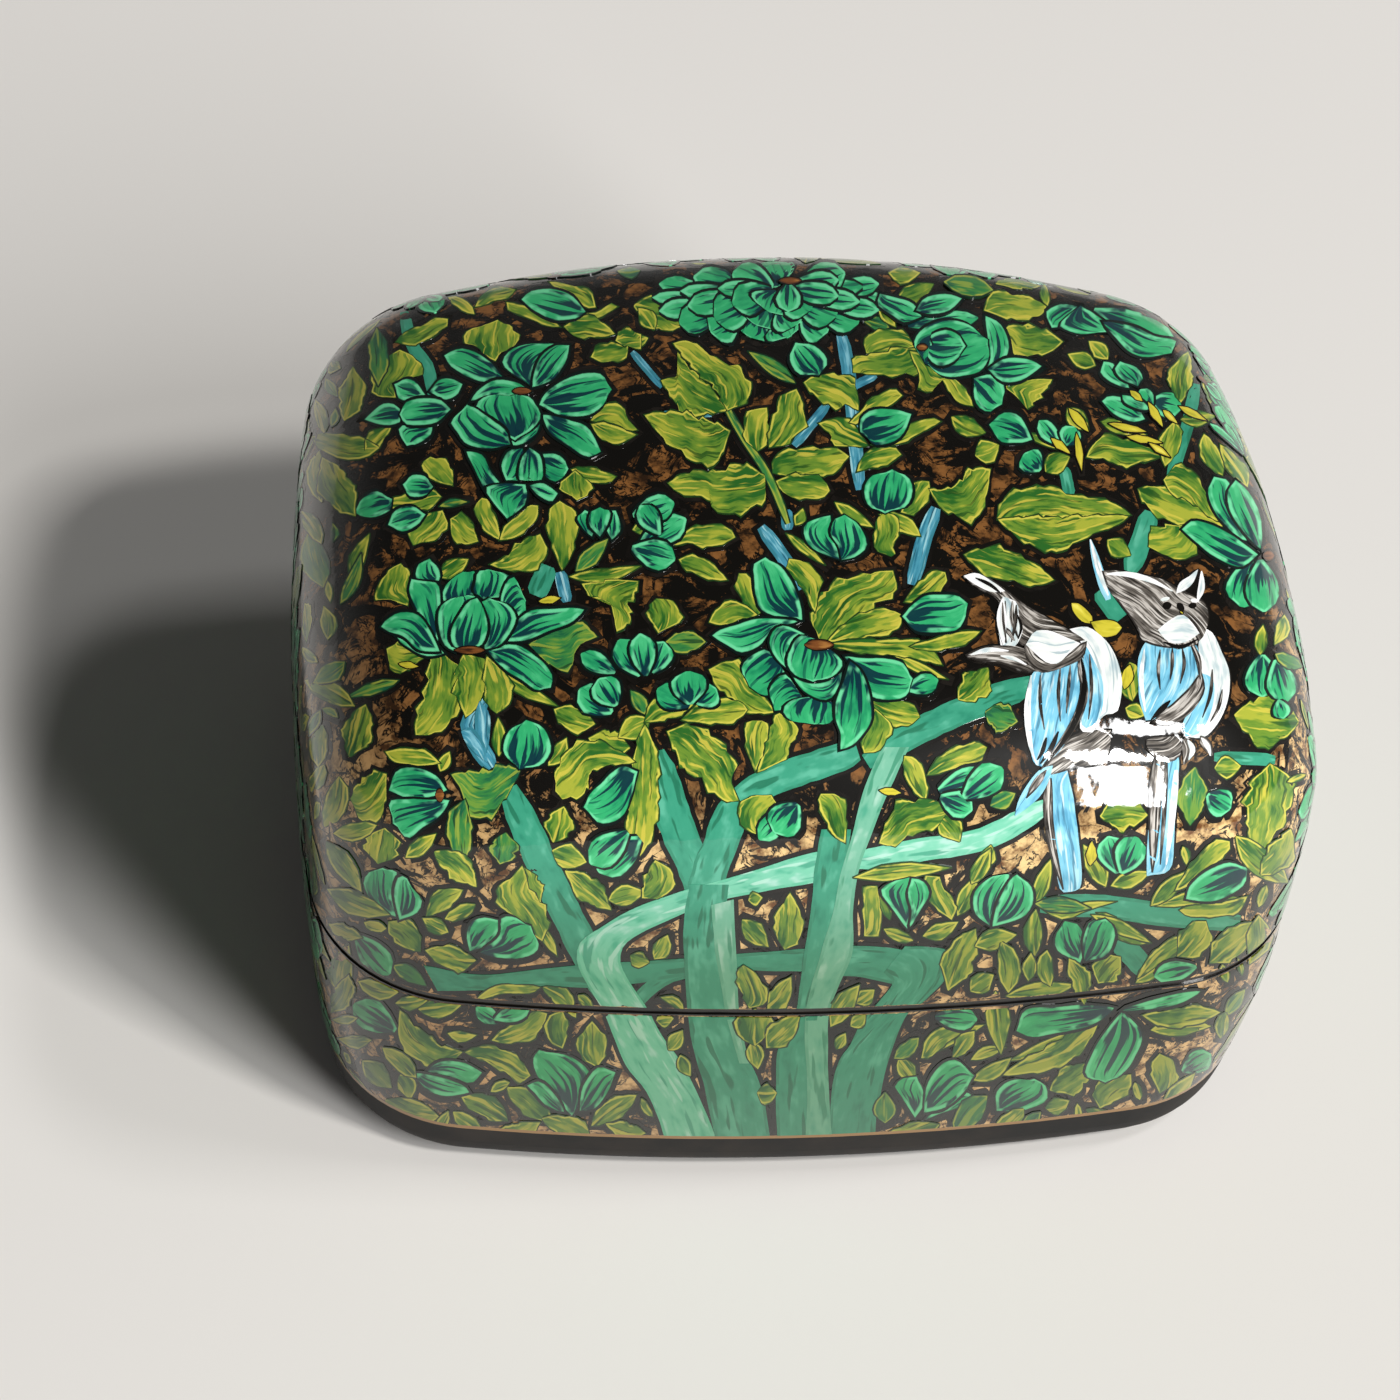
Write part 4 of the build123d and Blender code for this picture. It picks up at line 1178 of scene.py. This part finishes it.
BIRDS = [
    # Tails and the grey feathers above them
    ("blue", "1066,768 1048,775 1045,800 1049,830 1055,860 1061,889 1070,891",
     "1072,795 1076,825 1080,857 1080,886"),
    ("blue", "1172,745 1158,755 1150,790 1149,820 1147,850 1147,875", "1178,760 1176,785 1174,815 1170,866"),
    ("hatch", 9, BLADE, [(1049, 778), (1048, 812), (1053, 850), (1063, 889)]),
    ("hatch", 13, BLADE, [(1160, 752), (1155, 800), (1152, 872)]),
    ("hatch", 4, BLADE, [(1166, 760), (1164, 810), (1160, 864)]),
    ("white", 6, BLADE, [(1176, 770), (1172, 815), (1166, 864)]),
    ("hatch", "1110,731 1088,731 1070,738 1052,757 1040,776", "1109,748 1100,762 1078,766 1060,772"),
    ("hatch", "1180,737 1160,738 1146,741 1148,750", "1181,748 1174,760 1158,760"),
    ("blue", "1052,766 1040,770 1028,784 1019,800 1015,815", "1048,780 1040,794 1028,806"),
    ("hatch", 7, LEAF, [(1046, 770), (1034, 786), (1026, 798)]),
    # Left body and wing
    ("blue", "1060,660 1036,671 1028,690 1026,712 1029,738 1034,762 1042,766",
     "1080,657 1086,680 1083,702 1074,724 1060,750"),
    ("white", 6, LEAF, [(1031, 676), (1027, 710), (1030, 745), (1036, 764)]),
    ("hatch", 3, LEAF, [(1040, 676), (1040, 705), (1044, 730)]),
    ("hatch", 3, LEAF, [(1060, 668), (1058, 695), (1060, 722)]),
    ("hatch", 3, LEAF, [(1070, 666), (1068, 690), (1066, 714)]),
    ("white", "1070,630 1080,640 1084,660 1084,690 1081,712 1081,730 1092,732",
     "1086,628 1098,635 1109,646 1117,662 1121,682 1119,702 1115,713 1103,716"),
    ("blue", "1084,645 1084,670 1083,700 1082,724 1086,728", "1092,660 1101,680 1102,704 1096,722"),
    ("hatch", 3, LEAF, [(1089, 655), (1091, 690), (1088, 720)]),
    ("hatch", 8, LEAF, [(1080, 648), (1080, 670), (1084, 690), (1078, 715), (1062, 742), (1040, 770)]),
    ("ink", 5, LEAF, [(1080, 655), (1084, 682), (1080, 708), (1068, 734), (1044, 766)]),
    ("ink", 4, LEAF, [(1058, 732), (1050, 750), (1040, 764)]),
    ("ink", 3, LEAF, [(1046, 738), (1042, 752), (1037, 760)]),
    # Right body and wing
    ("blue", "1168,643 1147,642 1140,655 1138,680 1140,702 1146,720",
     "1192,643 1198,657 1201,675 1194,690 1172,708 1156,718"),
    ("white", 4, LEAF, [(1144, 650), (1141, 680), (1145, 712)]),
    ("hatch", 3, LEAF, [(1160, 650), (1158, 670), (1160, 690)]),
    ("hatch", 3, LEAF, [(1182, 648), (1184, 665), (1180, 684)]),
    ("hatch", 3, LEAF, [(1172, 648), (1172, 664), (1170, 680)]),
    ("white", "1201,630 1199,650 1201,672 1198,695 1188,716 1184,736",
     "1210,632 1219,648 1227,668 1229,686 1225,706 1215,725 1202,737"),
    ("blue", "1201,674 1196,698 1188,714 1183,726 1186,736", "1212,680 1213,700 1206,722 1197,734"),
    ("hatch", "1201,672 1188,690 1174,703 1162,713 1152,723", "1204,690 1196,705 1184,718 1168,725"),
    ("ink", 5, LEAF, [(1170, 701), (1160, 711), (1151, 720)]),
    ("hatch", 5, LEAF, [(1190, 642), (1198, 660), (1200, 680)]),
    ("hatch", 3, LEAF, [(1212, 670), (1210, 695), (1202, 718)]),
    ("hatch", 3, LEAF, [(1222, 690), (1218, 708), (1210, 722)]),
    # Left head: crest, face, beak and cheek
    ("hatch", "964,578 985,578 1003,589 1024,606 1046,619 1068,631 1084,641",
     "978,588 995,598 1004,612 1012,634 1030,648 1060,644"),
    ("white", "964,577 976,575 990,582 1004,592", "975,585 990,592"),
    ("white", "1003,598 1000,610 998,628 1001,647", "1016,604 1018,618 1022,630 1014,647"),
    ("hatch", 4, LEAF, [(1012, 602), (1012, 622), (1018, 640)]),
    ("hatch", 3, LEAF, [(1005, 602), (1004, 622), (1005, 644)]),
    ("hatch", 3, LEAF, [(1016, 606), (1015, 624), (1011, 643)]),
    ("hatch", 4, LEAF, [(1002, 628), (1008, 633), (1014, 642)]),
    ("ink", 2, LEAF, [(1017, 616), (1021, 628), (1018, 640)]),
    ("ink", 3, LEAF, [(975, 579), (990, 586), (1002, 596)]),
    ("hatch", "965,656 982,649 1002,647 1022,650 1036,660 1042,672", "978,661 1000,664 1020,671"),
    ("white", 9, LEAF, [(1002, 600), (1001, 620), (1003, 646)]),
    ("hatch", 2, LEAF, [(1002, 604), (1003, 624), (1006, 644)]),
    ("white", 4, LEAF, [(970, 656), (988, 651), (1008, 652)]),
    ("white", 3, LEAF, [(1000, 657), (1014, 660), (1026, 666)]),
    ("hatch", "1086,643 1076,648 1054,664 1040,660 1024,646", "1082,658 1062,668 1042,673 1028,664"),
    ("white", "1026,646 1034,634 1048,633 1062,638 1079,645", "1038,657 1048,664 1058,664 1068,654"),
    # Right crest, head and face
    ("blue", 9, BLADE, [(1108, 600), (1099, 572), (1090, 540)]),
    ("white", 5, LEAF, [(1108, 596), (1098, 568), (1090, 540)]),
    ("ink", 20, LEAF, [(1190, 604), (1193, 586), (1199, 569)]),
    ("hatch", "1102,572 1118,572 1140,576 1162,581 1180,592 1200,600 1207,618 1203,636 1194,646",
     "1110,592 1124,610 1136,628 1144,641 1164,647 1180,648"),
    ("white", 5, LEAF, [(1106, 575), (1126, 575), (1150, 581), (1172, 592)]),
    ("white", "1176,594 1180,584 1190,577 1197,571", "1184,590 1192,583"),
    ("white", 6, LEAF, [(1197, 602), (1201, 588), (1201, 572)]),
    ("ink", 7, OVAL, [(1162, 607), (1171, 606)]),
    ("ink", 5, OVAL, [(1188, 607), (1196, 606)]),
    ("ink", 6, OVAL, [(1177, 604), (1183, 612)]),
    ("white", 3, OVAL, [(1160, 601), (1169, 599)]),
    ("white", 3, OVAL, [(1190, 601), (1198, 602)]),
    ("spark", 3, OVAL, [(1179, 612), (1183, 615)]),
    ("white", "1158,631 1166,624 1177,617 1184,617 1192,625 1198,634", "1165,640 1176,644 1188,641"),
    ("ink", 3, LEAF, [(1163, 643), (1180, 648), (1198, 640)]),
    # Feet
    ("hatch", 12, LEAF, [(1184, 738), (1188, 750), (1184, 764)]),
    ("hatch", 10, LEAF, [(1200, 736), (1207, 746), (1212, 756)]),
    ("white", 5, LEAF, [(1187, 740), (1192, 750), (1188, 760)]),
    ("white", 4, LEAF, [(1201, 738), (1208, 748), (1210, 756)]),
]
for paint, *form in BIRDS:
    if len(form) == 2:
        patch(photo, paint, *edges(*form), 0.1, 0.35)
    else:
        stroke(photo, paint, form[2], form[0], form[1], 0.03, contour=0.0)


# The rest of the picture, which the photograph doesn't show or shows too small to read

def fill(sheet, sizes, tries, most_cover=0.04):
    """Scatter leaves of ever smaller sizes wherever there is still room."""
    for size in sizes:
        for _ in range(tries):
            x = random.uniform(sheet.low_x, sheet.high_x)
            y = random.uniform(sheet.low_y, sheet.high_y)
            hit = skin.meet(*sheet.ray(x, y))
            if hit is None or sheet is photo and plain(*hit):
                continue
            length = size * random.uniform(0.85, 1.2)
            half = away(0, 0, random.uniform(0, 360), length / 2)
            paint = "deep" if random.random() < 0.2 else "leaf"
            forms = [LEAF, JAGGED, OVAL] if length * sheet.unit > SMALL_LEAF else [LEAF, OVAL]
            blade(sheet, paint, x - half[0], y - half[1], x + half[0], y + half[1],
                  length * random.uniform(0.36, 0.55), random.choice(forms), random.uniform(-0.12, 0.12), 0.1,
                  most_cover)


def plain(place, normal):
    """Tell whether the photograph shows this spot of the skin well enough to have been traced."""
    return place.z > 60 * MM and normal.dot((EYE - place).normalized()) > 0.5


def bouquet(sheet, count):
    """Scatter flowers, buds and jagged leaves on stems over a side."""
    placed = []
    for _ in range(count * 60):
        if len(placed) >= count:
            break
        x = random.uniform(sheet.low_x, sheet.high_x)
        y = random.uniform(sheet.low_y, sheet.high_y)
        if any(math.dist((x, y), other) < 12 for other in placed):
            continue
        hit = skin.meet(*sheet.ray(x, y))
        if hit is None or not belongs(sheet, *hit):
            continue
        if abs(hit[0].z - (SEAM_LOW + SEAM_HIGH) / 2) < 3.5 * MM or hit[0].z < FOOT_TOP + 4 * MM:
            continue
        placed.append((x, y))
    for x, y in placed:
        stroke(sheet, random.choice(["stem", "pale", "stem"]),
               [(x, y + 1), (x * 0.93 + random.uniform(-3, 3), y + 8), (x * 0.84, y + 17)], 2.2, TAPER, 0.08)
    for x, y in placed:
        turn = random.uniform(40, 140)
        kind = random.choice(["fan", "bud", "burst", "rosette", "fan"])
        if kind == "fan":
            burst(sheet, x, y, turn + 180, 9, 130, 5)
            fan(sheet, x, y, turn, random.uniform(7.5, 10.5), 200, 7)
        elif kind == "rosette":
            burst(sheet, x, y, turn + 180, 11, 200, 7)
            rosette(sheet, x, y, 7.5, 7.0, (9, 7, 5))
        elif kind == "bud":
            burst(sheet, x, y, turn + 180, 7, 150, 4)
            bud(sheet, x, y, turn, 6.5)
        else:
            burst(sheet, x, y, turn, 9.5, 150, 5)


fill(photo, (58, 44, 32, 22), 1800, 0.2)
for side in sides:
    reserved = set(covered)
    bouquet(side, 34)
    fill(side, (7, 5.2, 3.8, 2.8), 900)


def trim(made, low, high):
    """Cut a layer's strokes off level at the seam or the foot and close the cuts."""
    for level, way in ((low, -1), (high, 1)):
        cut = bmesh.ops.bisect_plane(made, geom=made.verts[:] + made.edges[:] + made.faces[:],
                                     plane_co=(0, 0, level), plane_no=(0, 0, way), clear_outer=True)
        edges = [item for item in cut["geom_cut"] if isinstance(item, bmesh.types.BMEdge)]
        if edges:
            bmesh.ops.edgeloop_fill(made, edges=edges)


def make_layer(body, paint, layer):
    """Turn the gathered strokes into one piece that rides on its body."""
    mesh = bpy.data.meshes.new(f"{body}_{paint}_paint")
    mesh.from_pydata(layer.points, [], layer.faces)
    for name, values in (("way", layer.way), ("share", layer.share)):
        attribute = mesh.attributes.new(name, "FLOAT_VECTOR", "POINT")
        attribute.data.foreach_set("vector", np.array(values, np.float32).ravel())
    made = bmesh.new()
    made.from_mesh(mesh)
    if body == "lid":
        trim(made, SEAM_HIGH + SEAM_MARGIN, 2 * cad_high.z)
    else:
        trim(made, FOOT_TOP + LINE_HEIGHT, SEAM_LOW - SEAM_MARGIN)
    bmesh.ops.recalc_face_normals(made, faces=made.faces[:])
    made.to_mesh(mesh)
    made.free()
    mesh.shade_smooth()
    mesh.set_sharp_from_angle(angle=math.radians(40))
    mesh.materials.append(PAINTS[paint])
    piece = bpy.data.objects.new(f"{body}_{PAINTS[paint].name}", mesh)
    bpy.context.scene.collection.objects.link(piece)
    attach(piece, body)
    print(piece.name, len(mesh.polygons))


for (body, paint), layer in sorted(layers.items(), key=lambda item: item[0]):
    make_layer(body, paint, layer)

# Finishes of the CAD skins. The linings are the same brushed black lacquer as the collar, the chalk ground
# is smooth and dull, and the papier-mache shows matted grey-brown fibres.
lining = black_lacquer("lining_black_lacquer")
chalk = dry_layer("chalk_and_glue_ground", 0.85, "#ddd4c2", "#f1ebde", (1.0, 1.0, 1.0))
pulp = dry_layer("papier_mache_pulp", 0.95, "#8a7558", "#b8a586", (0.5, 1.6, 1.6))
FINISHES = {
    "lid_painted_coat": ground_lacquer("lid_lacquer_ground"),
    "base_painted_coat": ground_lacquer("base_lacquer_ground"),
    "foot_coat": black_lacquer("foot_black_lacquer", 0.75, 0.0),
    "lid_lining": lining, "base_lining": lining,
    "locating_collar": black_lacquer("collar_black_lacquer"),
    "lid_chalk_ground": chalk, "base_chalk_ground": chalk,
    "lid_pulp_shell": pulp, "base_pulp_shell": pulp,
}
for name, material in FINISHES.items():
    node_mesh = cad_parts[name].data
    node_mesh.materials.clear()
    node_mesh.materials.append(material)


# Studio

def make_light(name, place, size, power, colour, target, lean=0.0):
    """Add a soft lamp, wide and high, that faces a point and leans over by an angle in degrees."""
    data = bpy.data.lights.new(name, "AREA")
    data.shape = "RECTANGLE"
    data.size, data.size_y = size
    data.energy = power
    data.color = linear(colour)[:3]
    lamp = bpy.data.objects.new(name, data)
    lamp.location = place
    lamp.rotation_mode = "QUATERNION"
    lamp.rotation_quaternion = ((Vector(target) - Vector(place)).to_track_quat("-Z", "Y")
                                @ Quaternion((0, 0, 1), math.radians(lean)))
    bpy.context.scene.collection.objects.link(lamp)
    return lamp


floor_mesh = bpy.data.meshes.new("floor")
reach = 3.0
corners = [(-reach, -reach, 0), (reach, -reach, 0), (reach, reach, 0), (-reach, reach, 0)]
floor_mesh.from_pydata(corners, [], [(0, 1, 2, 3)])
floor = bpy.data.objects.new("floor", floor_mesh)
bpy.context.scene.collection.objects.link(floor)
floor_paint = bpy.data.materials.new("pale_floor")
floor_paint.use_nodes = True
floor_shader = floor_paint.node_tree.nodes["Principled BSDF"]
floor_shader.inputs["Base Color"].default_value = linear("#e2dfdb")
floor_shader.inputs["Roughness"].default_value = 0.9
floor_mesh.materials.append(floor_paint)

world = bpy.data.worlds.new("studio")
world.use_nodes = True
# The room is dim overhead and lighter towards the horizon
sky = world.node_tree
direction = add(sky, "ShaderNodeTexCoord")
rise = add(sky, "ShaderNodeSeparateXYZ", output="Z", Vector=direction)
glow = add(sky, "ShaderNodeMapRange", SMOOTH, Value=rise, From_Min=0.0, From_Max=0.65, To_Min=0.22, To_Max=0.04)
sky.nodes["Background"].inputs["Color"].default_value = linear("#f2f2f0")
sky.links.new(glow, sky.nodes["Background"].inputs["Strength"])
bpy.context.scene.world = world
bpy.context.scene.view_settings.view_transform = "Standard"


def lamp_place(azimuth, elevation, distance):
    """Return the place of a lamp from its turn off +X, its height angle and its distance."""
    turn, rise = math.radians(azimuth), math.radians(elevation)
    return (distance * math.cos(turn) * math.cos(rise), distance * math.sin(turn) * math.cos(rise),
            distance * math.sin(rise))


make_light("key", lamp_place(-41, 49, 4.5), (0.51, 0.51), 116, "#fffdfa", (0, 0, 0.04))
make_light("pane_high", lamp_place(-8, 58, 4.5), (0.82, 0.48), 36, "#ffffff", (0, 0, 0.04))
make_light("pane_low", lamp_place(-54, 31, 4.5), (0.48, 2.3), 145, "#ffffff", (0, 0, 0.04), -22)
